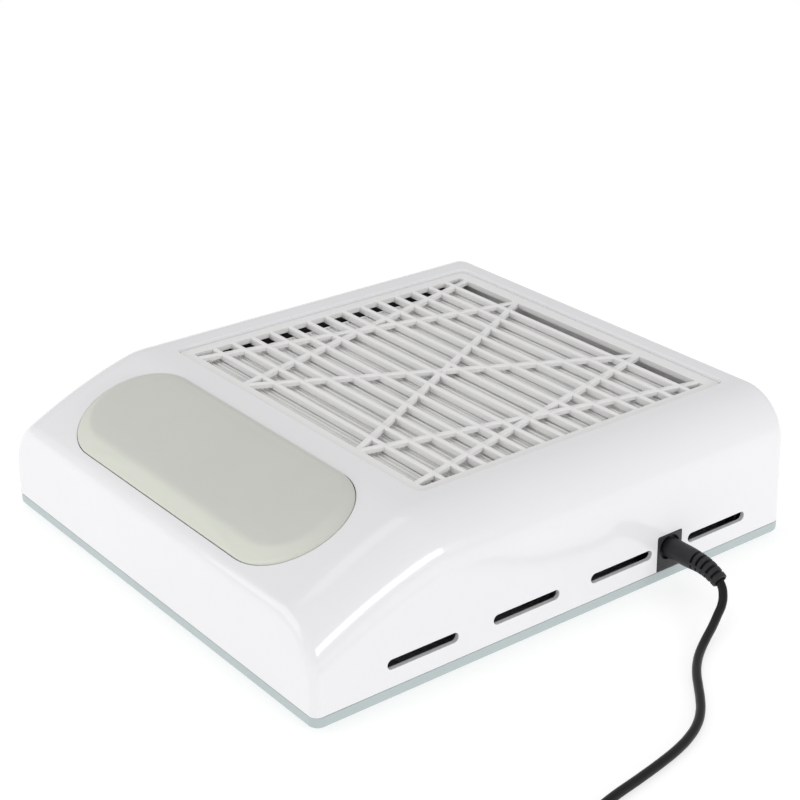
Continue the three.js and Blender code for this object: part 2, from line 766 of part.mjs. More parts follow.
function bladeShape() {
  const leadAngle = THREE.MathUtils.degToRad(26);
  const steps = 3;
  const middle = [];
  for (let i = 0; i <= steps; i += 1) {
    const share = i / steps;
    const radius = BLADE_ROOT + (IMPELLER_RADIUS - 1 - BLADE_ROOT) * share;
    const angle = -leadAngle * share * (1.3 - 0.3 * share);
    middle.push(new THREE.Vector2(radius * Math.cos(angle), radius * Math.sin(angle)));
  }
  const outerSide = [];
  const innerSide = [];
  middle.forEach((point, i) => {
    const before = middle[Math.max(i - 1, 0)];
    const after = middle[Math.min(i + 1, steps)];
    const run = after.clone().sub(before);
    const side = new THREE.Vector2(-run.y, run.x).setLength(BLADE_THICKNESS / 2);
    outerSide.push(point.clone().add(side));
    innerSide.push(point.clone().sub(side));
  });
  return new THREE.Shape([...innerSide, ...outerSide.reverse()]);
}

function fanImpeller() {
  const floor = IMPELLER_FLOOR;
  const top = floor + IMPELLER_HEIGHT;
  const hubTop = BRACKET_TOP + 2 + MOTOR_HEIGHT + DISC_THICKNESS + GAP;
  let impeller = join(
    cut(
      diskZ(IMPELLER_RADIUS, floor, floor + DISC_THICKNESS, 0, 0, 32),
      diskZ(MOTOR_RADIUS + GAP, floor - CUT, floor + DISC_THICKNESS + CUT, 0, 0, 24),
    ),
    cut(
      diskZ(IMPELLER_RADIUS, top - DISC_THICKNESS, top, 0, 0, 32),
      diskZ(INLET_RADIUS + 3, top - DISC_THICKNESS - CUT, top + CUT, 0, 0, 32),
    ),
    cut(
      diskZ(MOTOR_RADIUS + GAP + DISC_THICKNESS, floor, hubTop, 0, 0, 24),
      diskZ(MOTOR_RADIUS + GAP, floor - CUT, hubTop - DISC_THICKNESS, 0, 0, 24),
      diskZ(SHAFT_RADIUS + GAP, floor, hubTop + CUT, 0, 0, 10),
    ),
  );
  const blade = new THREE.ExtrudeGeometry(bladeShape(), {
    depth: IMPELLER_HEIGHT - DISC_THICKNESS,
    bevelEnabled: false,
  });
  blade.translate(0, 0, floor + DISC_THICKNESS / 2);
  for (let i = 0; i < BLADE_COUNT; i += 1) {
    const turned = blade.clone();
    turned.rotateZ((2 * Math.PI * i) / BLADE_COUNT);
    impeller = join(impeller, solidOf(turned));
  }
  return impeller;
}

function motorCan() {
  const bottom = BRACKET_TOP + 2;
  const top = bottom + MOTOR_HEIGHT;
  return cut(
    diskZ(MOTOR_RADIUS, bottom, top, 0, 0, 24),
    diskZ(MOTOR_RADIUS - 1.6, bottom - CUT, top - 1.6, 0, 0, 24),
    diskZ(SHAFT_RADIUS + GAP, bottom, top + CUT, 0, 0, 10),
  );
}

function motorStator() {
  const bottom = BRACKET_TOP + GAP;
  const top = BRACKET_TOP + 2 + MOTOR_HEIGHT - 1.6 - 2;
  const inner = SHAFT_RADIUS + GAP;
  let stator = join(
    diskZ(MOTOR_RADIUS - 6, bottom, bottom + 1.4, 0, 0, 20),
    diskZ(8, bottom, top, 0, 0, 18),
  );
  const poles = 9;
  for (let i = 0; i < poles; i += 1) {
    const pole = new THREE.BoxGeometry(MOTOR_RADIUS - 8, 5, top - bottom - 3);
    pole.translate((MOTOR_RADIUS - 8) / 2 + 4, 0, (top + bottom) / 2);
    pole.rotateZ((2 * Math.PI * i) / poles);
    stator = join(stator, solidOf(pole));
  }
  return cut(stator, diskZ(inner, bottom - CUT, top + CUT, 0, 0, 10));
}

function motorShaft() {
  const bottom = BRACKET_TOP + GAP * 2;
  const top = BRACKET_TOP + 2 + MOTOR_HEIGHT + DISC_THICKNESS + 3;
  return diskZ(SHAFT_RADIUS, bottom, top, 0, 0, 10);
}

function bracketScrewPlaces() {
  return [45, 135, 225, 315].map((degrees) => {
    const angle = THREE.MathUtils.degToRad(degrees);
    return [BRACKET_ARM * Math.cos(angle), FAN_PLACE + BRACKET_ARM * Math.sin(angle)];
  });
}

function motorBracket() {
  const z0 = BRACKET_TOP - BRACKET_THICKNESS;
  let bracket = diskZ(MOTOR_RADIUS - 2, z0, BRACKET_TOP, 0, FAN_PLACE, 20);
  bracketScrewPlaces().forEach(([x, y], i) => {
    const arm = new THREE.BoxGeometry(BRACKET_ARM, 10, BRACKET_THICKNESS);
    arm.translate(BRACKET_ARM / 2, 0, 0);
    arm.rotateZ(THREE.MathUtils.degToRad(45 + 90 * i));
    arm.translate(0, FAN_PLACE, z0 + BRACKET_THICKNESS / 2);
    bracket = join(bracket, solidOf(arm), diskZ(6, z0, BRACKET_TOP, x, y, 12));
  });
  bracketScrewPlaces().forEach(([x, y]) => {
    bracket = cut(bracket, diskZ(SCREW_RADIUS + GAP, z0 - CUT, BRACKET_TOP + CUT, x, y, 8));
  });
  return bracket;
}

// ---------------------------------------------------------------- control board and wiring

function boardScrewPlaces() {
  const x = BOARD_WIDTH / 2 - 4;
  const y = BOARD_DEPTH / 2 - 4;
  return [[BOARD_X - x, BOARD_Y - y], [BOARD_X + x, BOARD_Y + y]];
}

function controlBoard() {
  let board = box(
    BOARD_X - BOARD_WIDTH / 2,
    BOARD_X + BOARD_WIDTH / 2,
    BOARD_Y - BOARD_DEPTH / 2,
    BOARD_Y + BOARD_DEPTH / 2,
    BOARD_HEIGHT,
    BOARD_HEIGHT + BOARD_THICKNESS,
  );
  for (const [x, y] of boardScrewPlaces()) {
    board = cut(board, diskZ(SCREW_RADIUS + GAP, BOARD_HEIGHT - CUT, BOARD_HEIGHT + 3, x, y, 12));
  }
  return board;
}

const boardTop = BOARD_HEIGHT + BOARD_THICKNESS + GAP;
const terminal = { x: BOARD_X + 6, y: BOARD_Y + BOARD_DEPTH / 2 - 6, width: 22, depth: 9, height: 9 };

function terminalBlock() {
  return box(
    terminal.x - terminal.width / 2,
    terminal.x + terminal.width / 2,
    terminal.y - terminal.depth / 2,
    terminal.y + terminal.depth / 2,
    boardTop,
    boardTop + terminal.height,
  );
}

// Wires leave the terminal block's back face side by side.
function wireStart(index) {
  return [
    terminal.x - terminal.width / 2 + 2.5 + index * 3.4,
    terminal.y + terminal.depth / 2 + 0.8,
    boardTop + 4.5,
  ];
}

// A wire from the terminal block: straight out first, then through the given points.
function wire(index, points) {
  const start = wireStart(index);
  const clear = [start[0], start[1] + 3, start[2]];
  return tube([start, clear, ...points], 0.9, 6, points.length * 2 + 2);
}

// ---------------------------------------------------------------- power inlet and switch

function inletHousing() {
  const half = INLET_WIDTH / 2;
  const shape = roundedShape(
    INLET_PLACE - half,
    INLET_PLACE + half,
    coverBottom,
    coverBottom + INLET_HEIGHT,
    0.8,
  );
  return cut(
    extrudeX(shape, inletFaceX - INLET_DEPTH, inletFaceX, 2),
    diskX(INLET_BORE, inletFaceX - BARREL_LENGTH - 2, inletFaceX + CUT, INLET_PLACE, PLUG_HEIGHT),
    diskX(CONTACT_RADIUS + 0.4, inletFaceX - INLET_DEPTH - CUT, inletFaceX, INLET_PLACE, PLUG_HEIGHT, 12),
  );
}

function inletContact() {
  return diskX(CONTACT_RADIUS, inletFaceX - INLET_DEPTH - 3, inletFaceX - 2, INLET_PLACE, PLUG_HEIGHT, 12);
}

// The switch sits behind the left wall and shows through its cut-out.
const switchFace = -sideX + WALL + SIDE_DRAFT * 0.4 + GAP;

function switchBody() {
  const halfY = SWITCH_WIDTH / 2;
  const halfZ = SWITCH_LENGTH / 2;
  const flange = box(
    switchFace,
    switchFace + SWITCH_FLANGE,
    INLET_PLACE - halfY,
    INLET_PLACE + halfY,
    SWITCH_HEIGHT - halfZ,
    SWITCH_HEIGHT + halfZ,
  );
  const neck = box(
    switchFace + SWITCH_FLANGE / 2,
    switchFace + SWITCH_DEPTH,
    INLET_PLACE - halfY + 1.4,
    INLET_PLACE + halfY - 1.4,
    SWITCH_HEIGHT - halfZ + 1.4,
    SWITCH_HEIGHT + halfZ - 1.4,
  );
  const pocket = box(
    switchFace - CUT,
    switchFace + 7,
    INLET_PLACE - halfY + 2.6,
    INLET_PLACE + halfY - 2.6,
    SWITCH_HEIGHT - halfZ + 2.4,
    SWITCH_HEIGHT + halfZ - 2.4,
  );
  return cut(join(flange, neck), pocket);
}

// The rocker, with its pivot at the local origin: its face is a shallow V, tilted to the off side.
function switchRocker() {
  const half = SWITCH_LENGTH / 2 - 3.2;
  const width = SWITCH_WIDTH - 6.2;
  const shape = new THREE.Shape([
    new THREE.Vector2(-half, ROCKER_PROUD),
    new THREE.Vector2(-half * 0.9, -1.4),
    new THREE.Vector2(-2.2, -3.6),
    new THREE.Vector2(2.2, -3.6),
    new THREE.Vector2(half * 0.9, -1.4),
    new THREE.Vector2(half, ROCKER_PROUD),
    new THREE.Vector2(0, ROCKER_PROUD - ROCKER_DIP),
  ]);
  const geometry = new THREE.ExtrudeGeometry(shape, { depth: width, bevelEnabled: false });
  geometry.translate(0, 0, -width / 2);
  geometry.rotateX(Math.PI / 2);
  geometry.rotateY(-Math.PI / 2 - ROCKER_TILT);
  return geometry;
}

// ---------------------------------------------------------------- lead

const handleFront = inletFaceX + 0.5;
const handleEnd = handleFront + HANDLE_LENGTH;

// The cord leaves the plug in a ribbed sleeve, drops to the table and runs on to the coil: places
// along X and Y are offsets from the handle's end and the inlet, heights are above the table.
const sleeveRoute = [
  [handleEnd + GAP, INLET_PLACE, PLUG_HEIGHT],
  [handleEnd + 5, INLET_PLACE, PLUG_HEIGHT - 0.1],
  [handleEnd + 9.5, INLET_PLACE + 0.1, PLUG_HEIGHT - 1.1],
  [handleEnd + 13, INLET_PLACE, PLUG_HEIGHT - 3.4],
];
const cordOffsets = [
  [13.6, -0.1, 16],
  [16.2, -0.5, 13.3],
  [19.2, -2.1, 10.7],
  [22.6, -5.5, 8.44],
  [26.0, -11.1, 6.55],
  [29.6, -18.1, 4.8],
  [33.6, -26.3, 3.5],
  [38.2, -34.7, 2.5],
  [43.6, -42.3, 2.2],
  [50.2, -49.5, 2.2],
  [57.6, -56.1, 2.2],
  [64.8, -62.5, 2.2],
  [71.4, -69.3, 2.2],
  [77.0, -77.1, 2.2],
  [81.3, -86.1, 2.2],
  [84.4, -95.9, 2.2],
  [86.8, -107.5, 2.2],
  [89.0, -121.5, 2.2],
  [91.8, -141.3, 2.2],
  [94.8, -154.3, 2.2],
  [99.2, -167.5, 2.2],
  [106.0, -184.4, 2.2],
];
const cordRoute = cordOffsets.map(([x, y, z]) => [handleEnd + x, INLET_PLACE + y, z]);
const coilX = sideX + COIL_REACH;
const coilY = INLET_PLACE - COIL_SETBACK;

function cordCoil() {
  const inner = COIL_RADIUS - COIL_WIDTH / 2;
  const outer = COIL_RADIUS + COIL_WIDTH / 2;
  const profile = [
    new THREE.Vector2(inner, 2),
    new THREE.Vector2(inner + 2, 0.1),
    new THREE.Vector2(outer - 2, 0.1),
    new THREE.Vector2(outer, 2),
    new THREE.Vector2(outer, COIL_HEIGHT - 2),
    new THREE.Vector2(outer - 2, COIL_HEIGHT),
    new THREE.Vector2(inner + 2, COIL_HEIGHT),
    new THREE.Vector2(inner, COIL_HEIGHT - 2),
    new THREE.Vector2(inner, 2),
  ];
  const geometry = new THREE.LatheGeometry(profile, 24);
  geometry.rotateX(Math.PI / 2);
  geometry.translate(coilX, coilY, 0);
  return solidOf(geometry);
}

function plugHandle() {
  const profile = [
    [0, 0],
    [HANDLE_RADIUS + 0.3, 0],
    [HANDLE_RADIUS + 0.3, 1.6],
    [HANDLE_RADIUS, 2.2],
    [HANDLE_RADIUS - 0.3, HANDLE_LENGTH - 2],
    [HANDLE_RADIUS - 0.8, HANDLE_LENGTH],
    [0, HANDLE_LENGTH],
  ].map(([radius, along]) => new THREE.Vector2(radius, along));
  const geometry = new THREE.LatheGeometry(profile, 14);
  geometry.rotateZ(-Math.PI / 2);
  geometry.translate(handleFront, INLET_PLACE, PLUG_HEIGHT);
  return solidOf(geometry);
}

function plugBarrel() {
  const x0 = handleFront - BARREL_LENGTH;
  const x1 = handleFront - GAP;
  return cut(
    diskX(BARREL_RADIUS, x0, x1, INLET_PLACE, PLUG_HEIGHT),
    diskX(BARREL_BORE, x0 - CUT, x1 - 0.8, INLET_PLACE, PLUG_HEIGHT, 12),
  );
}

function adapterBody() {
  return new RoundedBoxGeometry(ADAPTER_LENGTH, ADAPTER_WIDTH, ADAPTER_HEIGHT, 2, 4);
}

// ---------------------------------------------------------------- assembly

addPiece('base_tray', baseTray(), paleTeal());
addPiece('top_cover', topCover(), glossWhite());

const cornerNames = ['front_left', 'front_right', 'back_left', 'back_right'];
footPlaces().forEach(([x, y], i) => addPiece(`foot_${cornerNames[i]}`, rubberFoot(x, y), blackRubber()));
caseScrewPlaces.forEach(([x, y], i) => {
  addPiece(`case_screw_${cornerNames[i]}`, screw(x, y, FOOT_DROP + 0.6, coverBottom + 12), steel());
});

addPiece('pad_backing', padBacking(), greyPlastic());
addPiece('hand_rest_pad', handRestPad(), greyPad());

addPiece('filter_grille', filterGrille(), warmWhite());
addPiece('filter_media', filterMedia(), filterPaper());
addPiece('filter_tray', filterTray(), warmWhite());

addPiece('fan_deck', fanDeck(), greyPlastic());
addPiece('inlet_guard', inletGuard(), steel());
deckScrewPlaces.forEach(([x, y], i) => {
  addPiece(`deck_screw_${cornerNames[i]}`, screw(x, y, deckBottom - GAP - SCREW_HEAD_HEIGHT, deckTop + 8), steel());
});

const fan = new THREE.Group();
fan.position.set(0, FAN_PLACE, 0);
object.add(fan);
addPiece('fan_impeller', fanImpeller(), greyPlastic(), fan);
addPiece('motor_can', motorCan(), steel(), fan);
addPiece('motor_shaft', motorShaft(), steel(), fan);
addPiece('motor_stator', motorStator(), metal(0x9a5a33, 0.4), fan);
addPiece('motor_bracket', motorBracket(), steel());
bracketScrewPlaces().forEach(([x, y], i) => {
  const place = ['right_back', 'left_back', 'left_front', 'right_front'][i];
  const head = BRACKET_TOP + GAP + SCREW_HEAD_HEIGHT;
  addPiece(`bracket_screw_${place}`, screw(x, y, head, trayFloor + GAP), steel());
});

addPiece('control_board', controlBoard(), boardGreen());
addPiece('board_terminal', terminalBlock(), plastic(0x2f6f4d, 0.5));
addPiece(
  'board_capacitor',
  diskZ(5, boardTop, boardTop + 14, BOARD_X - 16, BOARD_Y + 4, 20),
  plastic(0x2a2f4a, 0.35),
);
boardScrewPlaces().forEach(([x, y], i) => {
  const head = BOARD_HEIGHT + BOARD_THICKNESS + GAP + SCREW_HEAD_HEIGHT;
  addPiece(`board_screw_${['near', 'far'][i]}`, screw(x, y, head, trayFloor + GAP), steel());
});

addPiece('power_inlet', inletHousing(), blackPlastic());
addPiece('inlet_contact', inletContact(), steel());
addPiece('switch_body', switchBody(), blackPlastic());
const rocker = addPiece('switch_rocker', switchRocker(), blackPlastic());
rocker.position.set(switchFace, INLET_PLACE, SWITCH_HEIGHT);

// Wires run along the tray's floor, clear of the impeller.
const wireFloor = trayFloor + 2.4;
const inletBack = inletFaceX - INLET_DEPTH - GAP;
const wireLane = sideX - 24;
addPiece('inlet_wire_plus', wire(5, [
  [terminal.x + 12, BOARD_Y + 30, 13],
  [wireLane, BOARD_Y + 55, wireFloor],
  [wireLane, 20, wireFloor],
  [wireLane + 1, INLET_PLACE - 12, wireFloor + 4],
  [inletBack - 5, INLET_PLACE - 4.5, 13],
  [inletBack, INLET_PLACE - 4.5, 13],
]), plastic(0xa02822, 0.5));
addPiece('inlet_wire_minus', wire(4, [
  [terminal.x + 6, BOARD_Y + 32, 13],
  [wireLane - 4, BOARD_Y + 58, wireFloor],
  [wireLane - 4, 20, wireFloor],
  [wireLane - 3, INLET_PLACE - 8, wireFloor + 4],
  [inletBack - 5, INLET_PLACE + 4.5, 13],
  [inletBack, INLET_PLACE + 4.5, 13],
]), blackPlastic());
const motorEdge = FAN_PLACE - MOTOR_RADIUS + 3;
addPiece('motor_wire_plus', wire(3, [
  [BOARD_X, BOARD_Y + 34, 12],
  [48, -46, wireFloor],
  [6, -38, wireFloor],
  [2, motorEdge - 18, wireFloor],
  [2, motorEdge - 4, wireFloor + 0.2],
]), plastic(0xa02822, 0.5));
addPiece('motor_wire_minus', wire(2, [
  [BOARD_X - 6, BOARD_Y + 32, 12],
  [42, -50, wireFloor],
  [0, -42, wireFloor],
  [-3, motorEdge - 18, wireFloor],
  [-3, motorEdge - 4, wireFloor + 0.2],
]), blackPlastic());
const switchBack = switchFace + SWITCH_DEPTH + GAP;
addPiece('switch_wire_a', wire(1, [
  [BOARD_X - 14, BOARD_Y + 33, 12],
  [20, -62, wireFloor],
  [-84, -46, wireFloor],
  [-wireLane + 5, 10, wireFloor],
  [-wireLane + 5, INLET_PLACE - 10, wireFloor + 4],
  [switchBack + 5, INLET_PLACE, SWITCH_HEIGHT - 4],
  [switchBack, INLET_PLACE, SWITCH_HEIGHT - 4],
]), plastic(0xa02822, 0.5));
addPiece('switch_wire_b', wire(0, [
  [BOARD_X - 20, BOARD_Y + 32, 12],
  [14, -68, wireFloor],
  [-94, -58, wireFloor],
  [-wireLane - 4, 8, wireFloor],
  [-wireLane - 3, INLET_PLACE - 10, wireFloor + 10],
  [switchBack + 6, INLET_PLACE, SWITCH_HEIGHT + 4],
  [switchBack, INLET_PLACE, SWITCH_HEIGHT + 4],
]), blackPlastic());

addPiece('plug_barrel', plugBarrel(), steel());
addPiece('plug_handle', plugHandle(), blackPlastic());
addPiece('plug_sleeve', tube(sleeveRoute, RELIEF_RADIUS, 12, 6), blackRubber());
addPiece('power_cord', tube(cordRoute, CORD_RADIUS, 8, 34), blackRubber());
addPiece('cord_coil', cordCoil(), blackRubber());

// The cord leaves the coil along +X, into the sleeve of the wall adapter.
const leadY = coilY - LAST_TURN;
const sleeveX = coilX + ADAPTER_LEAD;
const sleeveZ = ADAPTER_HEIGHT / 2;
addPiece('adapter_cord', tube([
  [sleeveX - 10.5, leadY, 9.4],
  [sleeveX - 7, leadY, 10.8],
  [sleeveX - 3.5, leadY, 12],
  [sleeveX - GAP * 3, leadY, sleeveZ],
], CORD_RADIUS, 8, 3), blackRubber());
addPiece(
  'adapter_sleeve',
  diskX(CORD_RADIUS + 1.9, sleeveX, sleeveX + ADAPTER_SLEEVE, leadY, sleeveZ, 12),
  blackRubber(),
);

const adapter = new THREE.Group();
adapter.position.set(sleeveX + ADAPTER_SLEEVE + GAP + ADAPTER_LENGTH / 2, leadY, ADAPTER_HEIGHT / 2 + 0.05);
object.add(adapter);
addPiece('adapter_body', adapterBody(), blackPlastic(), adapter);
for (const side of [-1, 1]) {
  const pinStart = ADAPTER_LENGTH / 2 + GAP;
  const pin = diskX(PIN_RADIUS, pinStart, pinStart + PIN_LENGTH, (side * PIN_SPACING) / 2, 0, 12);
  addPiece(side < 0 ? 'adapter_pin_a' : 'adapter_pin_b', pin, steel(), adapter);
}

export default object;
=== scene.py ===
import math

import bmesh
import bpy
from mathutils import Matrix, Vector, noise


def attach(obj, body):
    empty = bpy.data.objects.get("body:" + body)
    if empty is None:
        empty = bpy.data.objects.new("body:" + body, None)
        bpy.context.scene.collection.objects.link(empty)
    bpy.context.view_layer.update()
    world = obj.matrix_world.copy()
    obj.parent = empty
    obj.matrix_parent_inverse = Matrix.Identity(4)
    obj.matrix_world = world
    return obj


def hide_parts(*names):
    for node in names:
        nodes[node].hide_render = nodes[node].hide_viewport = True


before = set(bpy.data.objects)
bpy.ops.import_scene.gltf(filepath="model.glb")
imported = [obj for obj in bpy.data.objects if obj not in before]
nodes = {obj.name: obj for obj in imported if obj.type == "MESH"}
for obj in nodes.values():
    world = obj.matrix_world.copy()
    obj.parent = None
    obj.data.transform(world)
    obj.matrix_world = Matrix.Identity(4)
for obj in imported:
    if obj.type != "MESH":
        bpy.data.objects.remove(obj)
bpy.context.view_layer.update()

scene = bpy.context.scene
mm = 0.001


# camera, at the angle the object is shown from
camera = {
    "target": (-61.64, 52.42, 28.5),
    "azimuth": 52.371,
    "elevation": 24.58,
    "roll": -0.29,
    "distance": 1003.02,
    "lens": 82.94,
    "shiftY": 0.00236,
}


def addCamera(s):
    data = bpy.data.cameras.new("camera")
    data.sensor_width = 36
    data.lens = s["lens"]
    data.shift_y = s["shiftY"]
    data.clip_start = 0.05
    data.clip_end = 20
    obj = bpy.data.objects.new("camera", data)
    turn = (
        Matrix.Rotation(math.radians(s["azimuth"]), 4, "Z")
        @ Matrix.Rotation(math.radians(90 - s["elevation"]), 4, "X")
        @ Matrix.Rotation(math.radians(s["roll"]), 4, "Z")
    )
    obj.matrix_world = (
        Matrix.Translation(Vector(s["target"]) * mm)
        @ turn
        @ Matrix.Translation((0, 0, s["distance"] * mm))
    )
    scene.collection.objects.link(obj)
    scene.camera = obj


addCamera(camera)
print("camera ready")


# ---- materials: one Principled shader each, detail from noise on Object coordinates
def startMaterial(name):
    mat = bpy.data.materials.new(name)
    mat.use_nodes = True
    tree = mat.node_tree
    tree.nodes.clear()
    out = tree.nodes.new("ShaderNodeOutputMaterial")
    shader = tree.nodes.new("ShaderNodeBsdfPrincipled")
    tree.links.new(shader.outputs["BSDF"], out.inputs["Surface"])
    return mat, tree, shader


def addNode(tree, kind, **settings):
    node = tree.nodes.new(kind)
    for key, value in settings.items():
        if key in node.inputs:
            node.inputs[key].default_value = value
        else:
            setattr(node, key, value)
    return node


def place(tree, stretch=(1, 1, 1)):
    coords = addNode(tree, "ShaderNodeTexCoord")
    mapping = addNode(tree, "ShaderNodeMapping")
    mapping.inputs["Scale"].default_value = stretch
    tree.links.new(coords.outputs["Object"], mapping.inputs["Vector"])
    return mapping.outputs["Vector"]


def grain(tree, vector, scale, detail=4, rough=0.55):
    node = addNode(tree, "ShaderNodeTexNoise", Scale=scale, Detail=detail, Roughness=rough)
    tree.links.new(vector, node.inputs["Vector"])
    return node.outputs["Fac"]


def spread(tree, value, fromLow, fromHigh, low, high):
    node = addNode(tree, "ShaderNodeMapRange")
    node.inputs["From Min"].default_value = fromLow
    node.inputs["From Max"].default_value = fromHigh
    node.inputs["To Min"].default_value = low
    node.inputs["To Max"].default_value = high
    tree.links.new(value, node.inputs["Value"])
    return node.outputs["Result"]


def blendColours(tree, value, first, second):
    node = addNode(tree, "ShaderNodeMix", data_type="RGBA")
    node.inputs[6].default_value = (*first, 1)
    node.inputs[7].default_value = (*second, 1)
    tree.links.new(value, node.inputs[0])
    return node.outputs[2]


def addBump(tree, shader, height, strength, distance, under=None):
    node = addNode(tree, "ShaderNodeBump", Strength=strength, Distance=distance)
    tree.links.new(height, node.inputs["Height"])
    if under:
        tree.links.new(under, node.inputs["Normal"])
    tree.links.new(node.outputs["Normal"], shader.inputs["Normal"])
    return node.outputs["Normal"]


plain = {
    "stretch": (1, 1, 1), "driftScale": 14, "grainScale": 900, "smearScale": 60, "bump": 0.1,
    "grainDepth": 0.0001, "metallic": 0, "ior": 1.46, "coat": 0, "coatRoughness": 0.05, "specular": 0.5,
}


def moulded(name, look):
    # plastics, rubbers and metals: slow colour drift, uneven gloss and a fine moulded grain
    s = {**plain, **look}
    mat, tree, shader = startMaterial(name)
    vector = place(tree, s["stretch"])
    slow = grain(tree, vector, s["driftScale"], 3)
    fine = grain(tree, vector, s["grainScale"], 3, 0.6)
    drift = spread(tree, slow, 0.3, 0.7, 0, 1)
    tree.links.new(blendColours(tree, drift, s["colour"], s["second"]), shader.inputs["Base Color"])
    low, high = s["roughness"]
    smear = grain(tree, vector, s["smearScale"], 5, 0.65)
    tree.links.new(spread(tree, smear, 0.3, 0.7, low, high), shader.inputs["Roughness"])
    addBump(tree, shader, fine, s["bump"], s["grainDepth"])
    shader.inputs["Metallic"].default_value = s["metallic"]
    shader.inputs["IOR"].default_value = s["ior"]
    shader.inputs["Coat Weight"].default_value = s["coat"]
    shader.inputs["Coat Roughness"].default_value = s["coatRoughness"]
    shader.inputs["Specular IOR Level"].default_value = s["specular"]
    return mat


looks = {
    "caseGloss": {"colour": (0.83, 0.83, 0.845), "second": (0.815, 0.815, 0.83), "roughness": (0.13, 0.19),
                  "grainScale": 350, "bump": 0.012, "coat": 0.35, "coatRoughness": 0.04},
    "trayTeal": {"colour": (0.465, 0.53, 0.532), "second": (0.45, 0.512, 0.516),
                 "roughness": (0.30, 0.40), "bump": 0.05},
    "grilleWhite": {"colour": (0.845, 0.84, 0.835), "second": (0.83, 0.825, 0.82), "roughness": (0.30, 0.40),
                    "bump": 0.06},
    "deckBlack": {"colour": (0.02, 0.02, 0.021), "second": (0.03, 0.03, 0.031), "roughness": (0.5, 0.65),
                  "bump": 0.15},
    "partGrey": {"colour": (0.25, 0.26, 0.27), "second": (0.22, 0.23, 0.24), "roughness": (0.45, 0.6),
                 "bump": 0.12},
    "plasticBlack": {"colour": (0.018, 0.018, 0.019), "second": (0.026, 0.026, 0.027),
                     "roughness": (0.38, 0.5), "bump": 0.15},
    "rockerBlack": {"colour": (0.018, 0.018, 0.019), "second": (0.022, 0.022, 0.023),
                    "roughness": (0.2, 0.28), "bump": 0.03},
    "plugBlack": {"colour": (0.02, 0.02, 0.022), "second": (0.027, 0.027, 0.029), "roughness": (0.42, 0.55),
                  "bump": 0.2, "grainScale": 1500, "specular": 0.32},
    "cordBlack": {"colour": (0.008, 0.008, 0.0085), "second": (0.012, 0.012, 0.0125),
                  "roughness": (0.3, 0.42), "bump": 0.06, "specular": 0.22},
    "footRubber": {"colour": (0.025, 0.025, 0.026), "second": (0.04, 0.04, 0.041), "roughness": (0.7, 0.85),
                   "bump": 0.25},
    "screwSteel": {"colour": (0.58, 0.59, 0.60), "second": (0.5, 0.51, 0.53), "roughness": (0.25, 0.38),
                   "metallic": 1, "bump": 0.05},
    "motorSteel": {"colour": (0.52, 0.53, 0.54), "second": (0.45, 0.46, 0.48), "roughness": (0.3, 0.45),
                   "metallic": 1, "bump": 0.06},
    "contactBrass": {"colour": (0.72, 0.62, 0.38), "second": (0.62, 0.52, 0.30), "roughness": (0.22, 0.35),
                     "metallic": 1, "bump": 0.04},
    "plugNickel": {"colour": (0.74, 0.73, 0.71), "second": (0.66, 0.65, 0.63), "roughness": (0.14, 0.22),
                   "metallic": 1, "bump": 0.02},
    "windingCopper": {"colour": (0.42, 0.17, 0.07), "second": (0.30, 0.11, 0.05), "roughness": (0.3, 0.4),
                      "metallic": 0.6, "bump": 0.6, "stretch": (1, 1, 30), "grainScale": 260},
    "boardGreen": {"colour": (0.02, 0.12, 0.05), "second": (0.03, 0.16, 0.07), "roughness": (0.25, 0.4),
                   "bump": 0.08, "driftScale": 200},
    "terminalGreen": {"colour": (0.04, 0.20, 0.10), "second": (0.05, 0.23, 0.12), "roughness": (0.4, 0.5)},
    "capacitorBlue": {"colour": (0.03, 0.04, 0.10), "second": (0.04, 0.05, 0.12), "roughness": (0.2, 0.3)},
    "wireRed": {"colour": (0.38, 0.02, 0.01), "second": (0.32, 0.015, 0.01), "roughness": (0.35, 0.45)},
    "wireBlack": {"colour": (0.02, 0.02, 0.021), "second": (0.03, 0.03, 0.031), "roughness": (0.35, 0.45)},
}
finish = {name: moulded(name, look) for name, look in looks.items()}


def paperMaterial():
    mat, tree, shader = startMaterial("filterPaper")
    vector = place(tree, (0.35, 1, 1))
    fibres = grain(tree, vector, 1400, 6, 0.7)
    clouds = grain(tree, place(tree), 45, 4, 0.6)
    tree.links.new(
        blendColours(tree, spread(tree, clouds, 0.3, 0.7, 0, 1), (0.86, 0.86, 0.85), (0.82, 0.82, 0.805)),
        shader.inputs["Base Color"],
    )
    tree.links.new(spread(tree, fibres, 0.3, 0.7, 0.82, 0.97), shader.inputs["Roughness"])
    addBump(tree, shader, fibres, 0.5, 0.00015)
    shader.inputs["Specular IOR Level"].default_value = 0.25
    return mat


